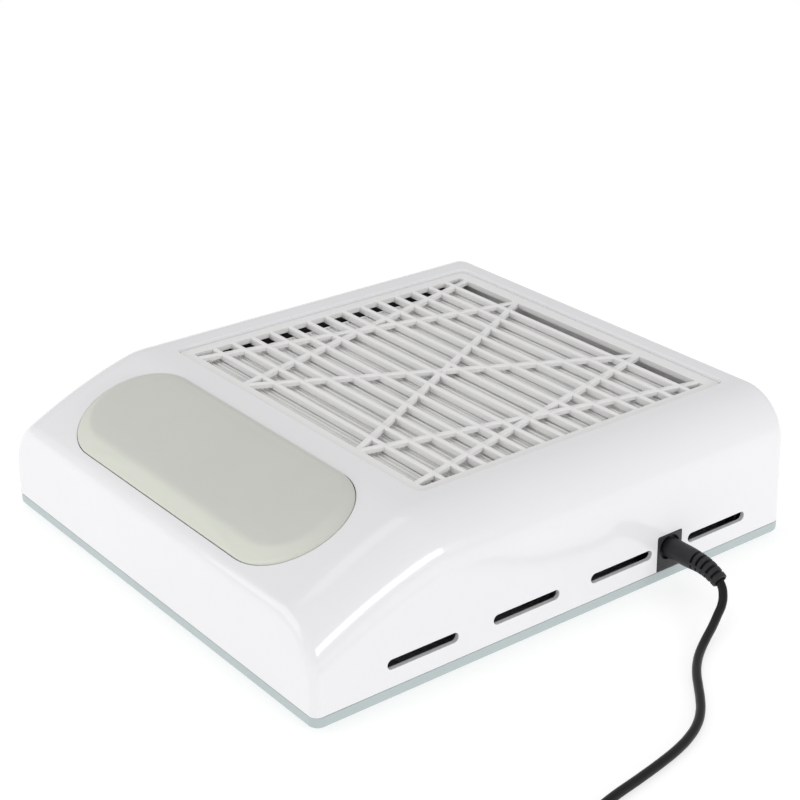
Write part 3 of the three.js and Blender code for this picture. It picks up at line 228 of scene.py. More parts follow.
def padMaterial():
    # smooth polyurethane skin: very fine pores over a faint, slow unevenness
    mat, tree, shader = startMaterial("padSkin")
    vector = place(tree)
    pores = addNode(tree, "ShaderNodeTexVoronoi", Scale=1100)
    tree.links.new(vector, pores.inputs["Vector"])
    clouds = grain(tree, vector, 22, 4, 0.6)
    drift = spread(tree, clouds, 0.35, 0.65, 0, 1)
    colour = blendColours(tree, drift, (0.60, 0.605, 0.56), (0.585, 0.59, 0.545))
    # the front and side bevels are painted paler and yellower: a painted highlight for the light those bevels
    # catch
    paintedBevelLight = addNode(tree, "ShaderNodeAttribute", attribute_name="paintedBevelLight")
    edge = addNode(tree, "ShaderNodeMix", data_type="RGBA")
    edge.inputs[7].default_value = (0.675, 0.695, 0.615, 1)
    tree.links.new(paintedBevelLight.outputs["Fac"], edge.inputs[0])
    tree.links.new(colour, edge.inputs[6])
    tree.links.new(edge.outputs[2], shader.inputs["Base Color"])
    wear = grain(tree, vector, 130, 5, 0.65)
    tree.links.new(spread(tree, wear, 0.3, 0.7, 0.42, 0.54), shader.inputs["Roughness"])
    soft = addBump(tree, shader, grain(tree, vector, 60, 3), 0.05, 0.0004)
    addBump(tree, shader, pores.outputs["Distance"], 0.09, 0.00008, soft)
    shader.inputs["Sheen Weight"].default_value = 0.08
    return mat


finish["filterPaper"] = paperMaterial()
finish["padSkin"] = padMaterial()
print("materials:", len(finish))


# ---- small modelling helpers
def link(name, bm, material, smoothAngle=35):
    bmesh.ops.remove_doubles(bm, verts=bm.verts, dist=1e-7)
    bmesh.ops.recalc_face_normals(bm, faces=bm.faces)
    mesh = bpy.data.meshes.new(name)
    bm.to_mesh(mesh)
    bm.free()
    mesh.materials.append(finish[material])
    mesh.shade_smooth()
    mesh.set_sharp_from_angle(angle=math.radians(smoothAngle))
    obj = bpy.data.objects.new(name, mesh)
    scene.collection.objects.link(obj)
    return obj


def bevelEdges(bm, edges, width, segments):
    bmesh.ops.bevel(
        bm, geom=list(edges), offset=width, segments=segments, profile=0.5, affect="EDGES",
        offset_type="OFFSET", clamp_overlap=True, material=-1,
    )


def block(bm, low, high):
    # an axis-aligned box between two corners, in mm
    low, high = Vector(low) * mm, Vector(high) * mm
    made = bmesh.ops.create_cube(bm, size=1)["verts"]
    size = high - low
    bmesh.ops.scale(bm, vec=size, verts=made)
    bmesh.ops.translate(bm, vec=(low + high) / 2, verts=made)
    return made


def edgesAlong(verts, axis):
    found = set()
    for v in verts:
        for e in v.link_edges:
            run = (e.verts[0].co - e.verts[1].co).normalized()
            if abs(run[axis]) > 0.99:
                found.add(e)
    return list(found)


def applyAll(obj):
    graph = bpy.context.evaluated_depsgraph_get()
    mesh = bpy.data.meshes.new_from_object(obj.evaluated_get(graph), depsgraph=graph)
    old = obj.data
    obj.modifiers.clear()
    obj.data = mesh
    bpy.data.meshes.remove(old)


def cutWith(obj, cutters, operation="DIFFERENCE"):
    for cutter in cutters:
        mod = obj.modifiers.new("cut", "BOOLEAN")
        mod.operation = operation
        mod.solver = "EXACT"
        mod.object = cutter
    applyAll(obj)
    for cutter in cutters:
        bpy.data.objects.remove(cutter)


def settle(obj, body, replaced=()):
    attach(obj, body)
    if replaced:
        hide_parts(*replaced)


# ---- the lead: one cord from the plug's sleeve through the coil to the wall adapter
lead = {
    "diameter": 4.2,
    "length": 1.2,
    "floor": 2.2,
    "plugHeight": 19.6,
    "inletY": 63.7,
    "route": [
        (163.4, 63.6, 16.4), (166.8, 63.1, 14.2), (169.6, 61.4, 11.2), (172.3, 58.0, 8.6),
        (175.0, 52.6, 6.55), (178.6, 45.6, 4.8), (182.6, 37.4, 3.5), (187.2, 29.0, 2.5),
        (192.6, 21.4, 2.2), (199.2, 14.2, 2.2), (206.6, 7.6, 2.2), (213.8, 1.2, 2.2),
        (220.4, -5.6, 2.2), (226.0, -13.4, 2.2), (230.3, -22.4, 2.2), (233.4, -32.2, 2.2),
        (235.8, -43.8, 2.2), (238.0, -57.8, 2.2), (240.8, -77.6, 2.2), (243.8, -90.6, 2.2),
        (248.2, -103.8, 2.2),
    ],
    "coil": (292, -128),
    "turnRadius": 27.5,
    "pitch": 4.4,
    "layer": 4.3,
    # degrees round the coil: start, end, and where it steps in, climbs and steps out
    "firstAngle": 172,
    "lastAngle": 2070,
    "stepsIn": ((150, 215), (510, 575), (870, 935)),
    "climb": (1165, 1225),
    "stepsOut": ((1460, 1520), (1820, 1880)),
    "coilPoints": 106,
    "adapterLead": 30,
    "adapterHeight": 12.5,
    # shares of the way from the coil to the adapter's sleeve, along and up
    "toAdapter": ((0.2, 0.03), (0.42, 0.25), (0.66, 0.68), (0.86, 0.94), (1.05, 1.0), (1.36, 1.0)),
}


def ease(value, start, end):
    share = min(max((value - start) / (end - start), 0), 1)
    return share * share * (3 - 2 * share)


def coilPoint(s, angle):
    # turns run inwards on the table, climb once, and run outwards on top
    outer = s["turnRadius"] + s["pitch"]
    inward = sum(ease(angle, *span) for span in s["stepsIn"])
    outward = sum(ease(angle, *span) for span in s["stepsOut"])
    radius = outer + s["pitch"] * (1 - inward + outward)
    height = s["floor"] + s["layer"] * ease(angle, *s["climb"])
    turn = math.radians(angle)
    x, y = s["coil"]
    return (x + radius * math.cos(turn), y + radius * math.sin(turn), height)


def leadPoints(s):
    points = list(s["route"])
    first, last, steps = s["firstAngle"], s["lastAngle"], s["coilPoints"]
    for i in range(steps + 1):
        points.append(coilPoint(s, first + (last - first) * i / steps))
    x, y, z = points[-1]
    sleeve = s["coil"][0] + s["adapterLead"]
    for share, rise in s["toAdapter"]:
        points.append((x + (sleeve - x) * share, y, z + (s["adapterHeight"] - z) * rise))
    return [Vector(p) * mm for p in points]


def addCord(s):
    points = leadPoints(s)
    curve = bpy.data.curves.new("leadCord", "CURVE")
    curve.dimensions = "3D"
    curve.resolution_u = 6
    curve.render_resolution_u = 6
    curve.bevel_depth = s["diameter"] / 2 * mm
    curve.bevel_resolution = 6
    curve.use_fill_caps = True
    spline = curve.splines.new("BEZIER")
    spline.bezier_points.add(len(points) - 1)
    for point, spot in zip(spline.bezier_points, points):
        point.co = spot
        point.handle_left_type = point.handle_right_type = "AUTO"
    curve.materials.append(finish["cordBlack"])
    obj = bpy.data.objects.new("leadCord", curve)
    scene.collection.objects.link(obj)
    settle(obj, "power_lead", ["power_cord", "cord_coil", "adapter_cord"])
    return obj


leadCord = addCord(lead)
print("cord laid")


# ---- case shell
shell = {
    "width": 265, "depth": 285.5, "height": 76.6, "bottom": 8.3, "draftFrom": 8,
    "crease": 49.7, "slopeAngle": 30.3, "slopeRadius": 255, "kinkBlend": 1.6,
    "shoulder": 24.3, "frontEnd": 4.2, "backEnd": 5.2,
    "sideDraft": 1, "backDraft": 1.8, "wall": 2.2,
    "wellWidth": 203, "wellFront": -62.7, "wellLength": 191.7, "wellCorner": 5, "wellFloor": 42.9,
    "rimRound": 0.7, "lipRound": 0.35,
    # stations along the shell, and points up each side wall's shoulder
    "endSteps": 8, "slopeEnd": -84, "slopeSteps": 18, "blendEnd": -69, "blendSteps": 14, "arcSteps": 14,
    "slotPlaces": (-85, -26, 32.5, 95.5), "slotLength": 39, "slotHeight": 5, "slotMiddle": 19.5,
    "inletWidth": 16.1, "inletTop": 26.8,
    "switchWidth": 11, "switchHeight": 17, "switchMiddle": 24,
    "padLength": 193, "padDepth": 63, "padMiddle": 38.7,
}
halfWidth = shell["width"] / 2
frontY = -shell["depth"] / 2
backY = shell["depth"] / 2
slopeAngle = math.radians(shell["slopeAngle"])
slopeY = frontY + shell["slopeRadius"] * math.sin(slopeAngle)
slopeZ = shell["crease"] - shell["slopeRadius"] * math.cos(slopeAngle)


def slopeHeight(y):
    along = min(abs(y - slopeY), shell["slopeRadius"])
    return slopeZ + math.sqrt(shell["slopeRadius"] ** 2 - along ** 2)


def skinTop(y):
    # the bulging slope runs into the flat top with a soft kink
    if y > slopeY:
        return shell["height"]
    rise = slopeHeight(y)
    k = shell["kinkBlend"]
    h = max(k - abs(rise - shell["height"]), 0) / k
    return min(rise, shell["height"]) - h * h * k / 4


def skinTilt(y):
    return math.atan((skinTop(y + 0.05) - skinTop(y - 0.05)) / 0.1)


def sectionPoint(s, y, shrink, place):
    # place runs 0..1 from the right bottom edge to the middle of the top
    tilt = skinTilt(y)
    top = skinTop(y) - shrink / math.cos(tilt)
    across = s["shoulder"] - shrink
    down = across / math.cos(tilt)
    half = halfWidth - shrink
    if place <= 0:
        x, z = half, s["bottom"]
    else:
        angle = math.pi / 2 * place
        x = half - across + across * math.cos(angle)
        z = top - down + down * math.sin(angle)
    share = (z - s["draftFrom"]) / (s["height"] - s["draftFrom"])
    lean = s["backDraft"] * share * y / backY if y > 0 else 0
    return x - s["sideDraft"] * share, y - lean, z


def shellStations(s):
    # places along the shell's depth, each with how far the section is drawn in there
    stations = []
    steps, slopeSteps, blendSteps = s["endSteps"], s["slopeSteps"], s["blendSteps"]
    for i in range(steps):
        turn = math.pi / 2 * i / steps
        stations.append((frontY + s["frontEnd"] * (1 - math.cos(turn)), s["frontEnd"] * (1 - math.sin(turn))))
    start, end, blendEnd = frontY + s["frontEnd"], s["slopeEnd"], s["blendEnd"]
    stations += [(start + (end - start) * i / slopeSteps, 0) for i in range(slopeSteps)]
    stations += [(end + (blendEnd - end) * i / blendSteps, 0) for i in range(blendSteps + 1)]
    for i in range(steps, -1, -1):
        turn = math.pi / 2 * i / steps
        stations.append((backY - s["backEnd"] * (1 - math.cos(turn)), s["backEnd"] * (1 - math.sin(turn))))
    return stations


def shellSkin(s):
    arc = s["arcSteps"]
    stations = shellStations(s)
    columns = 2 * (arc + 2) - 1
    bm = bmesh.new()
    bmesh.ops.create_grid(bm, x_segments=columns, y_segments=len(stations) - 1, size=0.5)
    for v in bm.verts:
        column = round((v.co.x + 0.5) * columns)
        y, shrink = stations[round((v.co.y + 0.5) * (len(stations) - 1))]
        left = column <= arc + 1
        step = column if left else columns - column
        x, y, z = sectionPoint(s, y, shrink, 0 if step == 0 else (step - 1) / arc + 1e-9)
        v.co = Vector((-x if left else x, y, z)) * mm
    return bm


def addShell(s):
    bm = shellSkin(s)
    # front and back walls close the two ends
    rings = [
        [v for v in bm.verts if v.is_boundary and abs(v.co.y - frontY * mm) < 1e-6],
        [v for v in bm.verts if v.is_boundary and v.co.y > (backY - s["backDraft"] - 0.1) * mm
         and abs(v.co.y - (backY - s["backDraft"] * (v.co.z / mm - s["draftFrom"])
                           / (s["height"] - s["draftFrom"])) * mm) < 1e-5],
    ]
    for ring in rings:
        bmesh.ops.contextual_create(bm, geom=ring)
    bmesh.ops.recalc_face_normals(bm, faces=bm.faces)
    top = max((f for f in bm.faces if f.normal.z > 0.99), key=lambda f: f.calc_area())
    # the inset face becomes the well's mouth, and is pushed down to its floor
    bmesh.ops.inset_region(bm, faces=[top], thickness=3 * mm, use_even_offset=True)
    x = s["wellWidth"] / 2 * mm
    y0, y1 = s["wellFront"] * mm, (s["wellFront"] + s["wellLength"]) * mm
    middle = top.calc_center_median()
    for v in top.verts:
        v.co.x = x if v.co.x > 0 else -x
        v.co.y = y1 if v.co.y > middle.y else y0
    grown = bmesh.ops.extrude_face_region(bm, geom=[top])["geom"]
    floorVerts = [g for g in grown if isinstance(g, bmesh.types.BMVert)]
    for v in floorVerts:
        v.co.z = s["wellFloor"] * mm
    floorFaces = [f for f in bm.faces if all(v in floorVerts for v in f.verts)]
    bmesh.ops.delete(bm, geom=floorFaces, context="FACES_ONLY")
    bmesh.ops.delete(bm, geom=[f for f in bm.faces if f is top], context="FACES_ONLY")
    bevelEdges(bm, edgesAlong(floorVerts, 2), s["wellCorner"] * mm, 8)
    rim = [
        e for e in bm.edges
        if len(e.link_faces) == 2 and e.calc_face_angle(0) > 1.2
        and all(abs(v.co.z - s["height"] * mm) < 1e-6 for v in e.verts)
    ]
    bevelEdges(bm, rim, s["rimRound"] * mm, 3)
    obj = link("caseShell", bm, "caseGloss")
    wall = obj.modifiers.new("wall", "SOLIDIFY")
    wall.thickness = s["wall"] * mm
    wall.offset = -1
    wall.use_even_offset = True
    wall.use_quality_normals = True
    applyAll(obj)
    return obj


def slopePoint(s, along, height):
    # a point above the slope, `along` it from the crease
    angle = slopeAngle - along / s["slopeRadius"]
    radius = s["slopeRadius"] + height
    return slopeY - radius * math.sin(angle), slopeZ + radius * math.cos(angle)


def cutter(name, low, high, axis, rounding, segments=8, turn=None, shift=(0, 0, 0)):
    # a box whose edges along one axis are rounded
    bm = bmesh.new()
    made = block(bm, low, high)
    bevelEdges(bm, edgesAlong(made, axis), rounding * mm, segments)
    if turn:
        bmesh.ops.rotate(bm, cent=(0, 0, 0), matrix=Matrix.Rotation(turn, 3, "X"), verts=bm.verts)
    bmesh.ops.translate(bm, vec=Vector(shift) * mm, verts=bm.verts)
    return link(name, bm, "caseGloss")


def openShell(obj, s):
    cutters = []
    half = s["slotLength"] / 2
    for side in (-1, 1):
        for y in s["slotPlaces"]:
            x0, x1 = sorted((side * (halfWidth - 8), side * (halfWidth + 5)))
            cutters.append(cutter(
                "slot", (x0, y - half, s["slotMiddle"] - s["slotHeight"] / 2),
                (x1, y + half, s["slotMiddle"] + s["slotHeight"] / 2), 0, s["slotHeight"] / 2 - 0.01,
            ))
    inletHalf = s["inletWidth"] / 2
    cutters.append(cutter(
        "inletNotch", (halfWidth - 5, lead["inletY"] - inletHalf, s["bottom"] - 2),
        (halfWidth + 3, lead["inletY"] + inletHalf, s["inletTop"]), 0, 1,
    ))
    switchHalf, switchRise = s["switchWidth"] / 2, s["switchHeight"] / 2
    cutters.append(cutter(
        "switchHole", (-halfWidth - 3, lead["inletY"] - switchHalf, s["switchMiddle"] - switchRise),
        (-halfWidth + 5, lead["inletY"] + switchHalf, s["switchMiddle"] + switchRise), 0, 1,
    ))
    y, z = slopePoint(s, s["padMiddle"], 0)
    padX, padY = s["padLength"] / 2, s["padDepth"] / 2
    cutters.append(cutter(
        "restHole", (-padX, -padY, -12), (padX, padY, 10), 2, padY - 0.05, 20,
        slopeAngle - s["padMiddle"] / s["slopeRadius"], (0, y, z),
    ))
    cutWith(obj, cutters)


def softenCuts(obj, s):
    # a small round on the lips of the openings in the side walls
    bm = bmesh.new()
    bm.from_mesh(obj.data)
    bmesh.ops.remove_doubles(bm, verts=bm.verts, dist=2e-6)
    lips = []
    for e in bm.edges:
        if len(e.link_faces) != 2 or e.calc_face_angle(0) < 0.9:
            continue
        middle = (e.verts[0].co + e.verts[1].co) / 2 / mm
        onWall = abs(middle.x) > halfWidth - 0.6
        if onWall and 10 < middle.z < 34 and abs(middle.y) < 130:
            lips.append(e)
    bevelEdges(bm, lips, s["lipRound"] * mm, 2)
    mesh = obj.data
    bm.to_mesh(mesh)
    bm.free()
    mesh.shade_smooth()
    mesh.set_sharp_from_angle(angle=math.radians(30))
    shade = obj.modifiers.new("shade", "WEIGHTED_NORMAL")
    shade.keep_sharp = True
    shade.weight = 80


caseShell = addShell(shell)
openShell(caseShell, shell)
softenCuts(caseShell, shell)
settle(caseShell, "case", ["top_cover"])
print("shell ready:", len(caseShell.data.polygons), "faces")


# ---- base tray, with the screw wells and foot recesses in its underside
tray = {"low": 2, "high": 8, "corner": 5.2, "foot": 2.2, "wall": 3.2, "floor": 4.2, "screwInset": (14, 18),
        "footInset": 34, "footRadius": 8}


def cornersAt(insetX, insetY):
    return [(sx * (halfWidth - insetX), sy * (backY - insetY)) for sx in (-1, 1) for sy in (-1, 1)]


def cylinder(name, radius, low, high, spot, sides=32):
    bm = bmesh.new()
    made = bmesh.ops.create_cone(
        bm, cap_ends=True, segments=sides, radius1=radius * mm, radius2=radius * mm, depth=(high - low) * mm,
    )["verts"]
    bmesh.ops.translate(bm, vec=Vector((spot[0], spot[1], (low + high) / 2)) * mm, verts=made)
    return link(name, bm, "caseGloss")


def addTray(s):
    bm = bmesh.new()
    made = block(bm, (-halfWidth, frontY, s["low"]), (halfWidth, backY, s["high"]))
    bevelEdges(bm, edgesAlong(made, 2), s["corner"] * mm, 10)
    top = max(bm.faces, key=lambda f: f.normal.z * f.calc_area())
    base = min(bm.faces, key=lambda f: f.normal.z * f.calc_area())
    baseEdges, topEdges = list(base.edges), list(top.edges)
    bmesh.ops.inset_region(bm, faces=[top], thickness=s["wall"] * mm)
    grown = bmesh.ops.extrude_face_region(bm, geom=[top])["geom"]
    floorVerts = [g for g in grown if isinstance(g, bmesh.types.BMVert)]
    bmesh.ops.delete(bm, geom=[top], context="FACES_ONLY")
    for v in floorVerts:
        v.co.z = s["floor"] * mm
    bevelEdges(bm, baseEdges, s["foot"] * mm, 4)
    bevelEdges(bm, [e for e in topEdges if e.is_valid], 0.3 * mm, 2)
    obj = link("trayBase", bm, "trayTeal", 30)
    wells = [cylinder("screwWell", 3.1, 1, s["floor"] + 2, spot) for spot in cornersAt(*s["screwInset"])]
    wells += [
        cylinder("footRecess", s["footRadius"] + 0.6, 1, s["low"] + 1, spot, 48)
        for spot in cornersAt(s["footInset"], s["footInset"])
    ]
    cutWith(obj, wells)
    obj.data.set_sharp_from_angle(angle=math.radians(30))
    shade = obj.modifiers.new("shade", "WEIGHTED_NORMAL")
    shade.keep_sharp = True
    settle(obj, "case", ["base_tray"])


def spun(bm, profile, steps, axis="X", spot=(0, 0, 0)):
    # a turned body: (along, radius) pairs in mm, spun about an axis through spot
    verts = [bm.verts.new((a * mm, 0, r * mm)) for a, r in profile]
    edges = [bm.edges.new(pair) for pair in zip(verts, verts[1:])]
    bmesh.ops.spin(bm, geom=verts + edges, cent=(0, 0, 0), axis=(1, 0, 0), dvec=(0, 0, 0),
                   angle=math.tau, steps=steps, use_merge=True)
    if axis == "Z":
        bmesh.ops.rotate(bm, cent=(0, 0, 0), matrix=Matrix.Rotation(-math.pi / 2, 3, "Y"), verts=bm.verts)
    bmesh.ops.translate(bm, vec=Vector(spot) * mm, verts=bm.verts)


def addFeet(s):
    names = ["front_left", "back_left", "front_right", "back_right"]
    for name, spot in zip(names, cornersAt(s["footInset"], s["footInset"])):
        bm = bmesh.new()
        r = s["footRadius"]
        profile = [(0, 0), (0, r - 1.6), (0.15, r - 1), (0.6, r - 0.35), (1.3, r), (2.7, r), (2.7, 0)]
        spun(bm, profile, 40, "Z", (*spot, 0))
        foot = link("rubberFoot_" + name, bm, "footRubber")
        settle(foot, "case", ["foot_" + name])


addTray(tray)
addFeet(tray)
print("tray and feet ready")


# ---- filter cartridge: slatted grille over folded paper
grille = {
    "halfWidth": 101.3, "front": -62.5, "back": 128.8, "corner": 4.8,
    "top": 74.6, "low": 61.6, "thick": 3, "skirt": 1.6,
    "border": 6.7, "backBorder": 7.4, "slats": 14, "firstSlat": 12.6, "pitch": 11.9, "slatWidth": 2.7,
    "slatDepth": 3.7, "slatRound": 1.0, "slatSink": 0.1,
    "ribWidth": 3.2, "ribDepth": 2.4, "ribInset": 4.5, "ribRound": 0.8, "ribSink": 0.16, "ribReach": 1.6,
    "windowCorner": 1.2, "round": 0.3,
}


def bar(name, start, end, width, low, top, rounding):
    # a straight bar with rounded top edges, between two spots on the plan
    start, end = Vector((*start, 0)), Vector((*end, 0))
    run = end - start
    bm = bmesh.new()
    made = block(bm, (-width / 2, 0, low), (width / 2, run.length, top))
    topEdges = [e for e in edgesAlong(made, 1) if e.verts[0].co.z > (top - 0.01) * mm]
    bevelEdges(bm, topEdges, rounding * mm, 5)
    turn = math.atan2(run.y, run.x) - math.pi / 2
    bmesh.ops.rotate(bm, cent=(0, 0, 0), matrix=Matrix.Rotation(turn, 3, "Z"), verts=bm.verts)
    bmesh.ops.translate(bm, vec=start * mm, verts=bm.verts)
    return link(name, bm, "grilleWhite")


def addGrille(s):
    outer = cutter("filterGrille", (-s["halfWidth"], s["front"], s["low"]),
                   (s["halfWidth"], s["back"], s["top"]), 2, s["corner"], 10)
    w = s["skirt"]
    openX = s["halfWidth"] - s["border"]
    openFront, openBack = s["front"] + s["border"], s["back"] - s["backBorder"]
    hollow = cutter("hollow", (-s["halfWidth"] + w, s["front"] + w, s["low"] - 2),
                    (s["halfWidth"] - w, s["back"] - w, s["top"] - s["thick"]), 2, s["corner"] - w, 10)
    window = cutter("window", (-openX, openFront, s["low"] - 2), (openX, openBack, s["top"] + 2),
                    2, s["windowCorner"], 4)
    cutWith(outer, [hollow, window])
    bm = bmesh.new()
    bm.from_mesh(outer.data)
    bmesh.ops.remove_doubles(bm, verts=bm.verts, dist=3e-6)
    topEdges = [
        e for e in bm.edges
        if len(e.link_faces) == 2 and e.calc_face_angle(0) > 1
        and all(abs(v.co.z - s["top"] * mm) < 2e-6 for v in e.verts)
    ]
    bevelEdges(bm, topEdges, s["round"] * mm, 3)
    bpy.data.objects.remove(outer)
    obj = link("filterGrille", bm, "grilleWhite", 32)
    bars = []
    slatTop = s["top"] - s["slatSink"]
    for i in range(s["slats"]):
        y = openFront + s["firstSlat"] + i * s["pitch"]
        bars.append(bar("slat", (-openX - 1, y), (openX + 1, y), s["slatWidth"],
                        slatTop - s["slatDepth"], slatTop, s["slatRound"]))
    far, near = openX - s["ribInset"], openX / 2
    reach = s["ribReach"]
    ribTop = s["top"] - s["ribSink"]
    for x0, x1 in ((-far, -near), (-near, -far), (-near, near), (near, -near), (near, far), (far, near)):
        bars.append(bar("rib", (x0, openFront - reach), (x1, openBack + reach), s["ribWidth"],
                        ribTop - s["ribDepth"], ribTop, s["ribRound"]))
    cutWith(obj, bars, "UNION")
    obj.data.shade_smooth()
    obj.data.set_sharp_from_angle(angle=math.radians(32))
    shade = obj.modifiers.new("shade", "WEIGHTED_NORMAL")
    shade.keep_sharp = True
    settle(obj, "filter_cartridge", ["filter_grille"])


# black strips along the inside of the frame's sides, beside the paper pack's ends
darkStrips = {"thick": 1.2, "low": 61.9, "high": 71.3, "front": -35, "back": 126}


def addDarkStrips(s):
    inner = (grille["halfWidth"] - grille["skirt"]) * mm
    for side, name in ((-1, "left"), (1, "right")):
        bm = bmesh.new()
        made = block(bm, (0, s["front"], s["low"]), (s["thick"], s["back"], s["high"]))
        bevelEdges(bm, edgesAlong(made, 1), 0.3 * mm, 3)
        shift = -inner if side < 0 else inner - s["thick"] * mm
        bmesh.ops.translate(bm, vec=(shift, 0, 0), verts=bm.verts)
        strip = link("darkStrip_" + name, bm, "footRubber")
        settle(strip, "filter_cartridge")


paper = {"halfWidth": 89.4, "edge": 0.9, "front": -59.5, "back": 113, "low": 45.2, "high": 70.1, "pitch": 2.5,
         "thick": 0.3, "wander": 0.3, "along": 36}


def addPaper(s):
    folds = round((s["back"] - s["front"]) / s["pitch"])
    perFold = ((0, 1.0), (0.3, 0.992), (0.52, 0.965), (0.68, 0.9), (0.78, 0.5), (0.9, 0.03), (1.0, 0.0),
               (1.1, 0.03), (1.22, 0.5), (1.32, 0.9), (1.48, 0.965), (1.7, 0.992))
    profile = [
        (s["front"] + (i + share / 2) * s["pitch"], s["low"] + (s["high"] - s["low"]) * rise)
        for i in range(folds) for share, rise in perFold
    ]
    bm = bmesh.new()
    bmesh.ops.create_grid(bm, x_segments=s["along"], y_segments=len(profile) - 1, size=0.5)
    for v in bm.verts:
        x = v.co.x * 2 * s["halfWidth"]
        y, z = profile[round((v.co.y + 0.5) * (len(profile) - 1))]
        drift = noise.noise((x * 0.035, y * 0.21, z * 0.01 + 3)) * s["wander"]
        sag = noise.noise((x * 0.05, y * 0.4, 7)) * 0.25
        v.co = Vector((x, y + drift, z + sag * (z > s["high"] - 3))) * mm
    obj = link("foldedPaper", bm, "filterPaper", 60)
    wall = obj.modifiers.new("wall", "SOLIDIFY")
    wall.thickness = s["thick"] * mm
    wall.offset = 0
    applyAll(obj)
    settle(obj, "filter_cartridge", ["filter_media"])
    # a strip glued over the folds' ends, on each side
    for side, name in ((-1, "left"), (1, "right")):
        bm = bmesh.new()
        x0, x1 = sorted((side * (s["halfWidth"] - 0.2), side * (s["halfWidth"] + s["edge"])))
        made = block(bm, (x0, s["front"] - 0.4, s["low"] - 0.3), (x1, s["back"] + 0.4, s["high"] + 0.25))
        bevelEdges(bm, edgesAlong(made, 1), 0.25 * mm, 3)
        strip = link("paperEdge_" + name, bm, "filterPaper")
        settle(strip, "filter_cartridge")


addGrille(grille)
addDarkStrips(darkStrips)
addPaper(paper)
print("cartridge ready")


# ---- hand rest: a foam pad in a smooth skin, blown up a little and capped
rest = {
    "length": 192.3, "depth": 62.3, "middle": 38.7, "skirt": (-0.3, -0.8, -1.3), "edge": 0.15,
    "crown": 3.4, "lip": 0.55, "bevelFront": 10.5, "bevelBack": 3.2, "bevelSide": 7, "soften": 0.12,
    "columns": 96, "rows": 40,
    "pressure": 4, "mass": 0.2, "stretchStiffness": 30, "shearStiffness": 15, "bendStiffness": 2,
    "frames": 20, "cap": 0.35, "rimFade": 1.5, "fill": 0.8,
    # where the painted highlight on the pad's bevels begins, how softly it fades in, and how much of it the
    # ends get
    "paintedLightFrom": 0.12, "paintedLightFade": 0.5, "paintedLightEnds": 0.1,
}


def onSlope(point, s):
    # x along the pad, y up the slope from the pad's middle, z out of the slope
    y, z = slopePoint(shell, s["middle"] + point.y / mm, point.z / mm)
    return Vector((point.x, y * mm, z * mm))


def restHeight(x, y, s):
    # a soft lip, then a bevel that is wide on the front, narrower at the ends and slight at the back
    half, reach = s["length"] / 2, s["depth"] / 2
    past = max(abs(x) - (half - reach), 0)
    radius = math.hypot(past, y)
    gap = max(reach - radius, 0)
    toFront, toBack = max(-y, 0) / max(radius, 1e-6), max(y, 0) / max(radius, 1e-6)
    width = s["bevelSide"] + (s["bevelFront"] - s["bevelSide"]) * toFront ** 2
    width += (s["bevelBack"] - s["bevelSide"]) * toBack ** 2
    lip = min(gap / s["lip"], 1)
    rise = s["crown"] - s["edge"] - s["lip"]
    share, soft = gap / width, s["soften"]
    if share < 1 - soft:
        ramp = share
    elif share < 1 + soft:
        ramp = share - (share - 1 + soft) ** 2 / (4 * soft)
    else:
        ramp = 1
    return s["edge"] + s["lip"] * math.sqrt(max(1 - (1 - lip) ** 2, 0)) + rise * ramp


def restForm(s):
    half, reach = s["length"] / 2, s["depth"] / 2
    bm = bmesh.new()
    bmesh.ops.create_grid(bm, x_segments=s["columns"], y_segments=s["rows"], size=1)
    for v in bm.verts:
        y = reach * math.sin(v.co.y * math.pi / 2)
        x = v.co.x * (half - reach + math.sqrt(max(reach ** 2 - y ** 2, 0)))
        v.co = Vector((x, y, restHeight(x, y, s))) * mm
    rim = [e for e in bm.edges if e.is_boundary]
    for height in s["skirt"]:
        grown = bmesh.ops.extrude_edge_only(bm, edges=rim)["geom"]
        for g in grown:
            if isinstance(g, bmesh.types.BMVert):
                g.co.z = height * mm
        rim = [g for g in grown if isinstance(g, bmesh.types.BMEdge)]
    bmesh.ops.contextual_create(bm, geom=rim)
    return bm


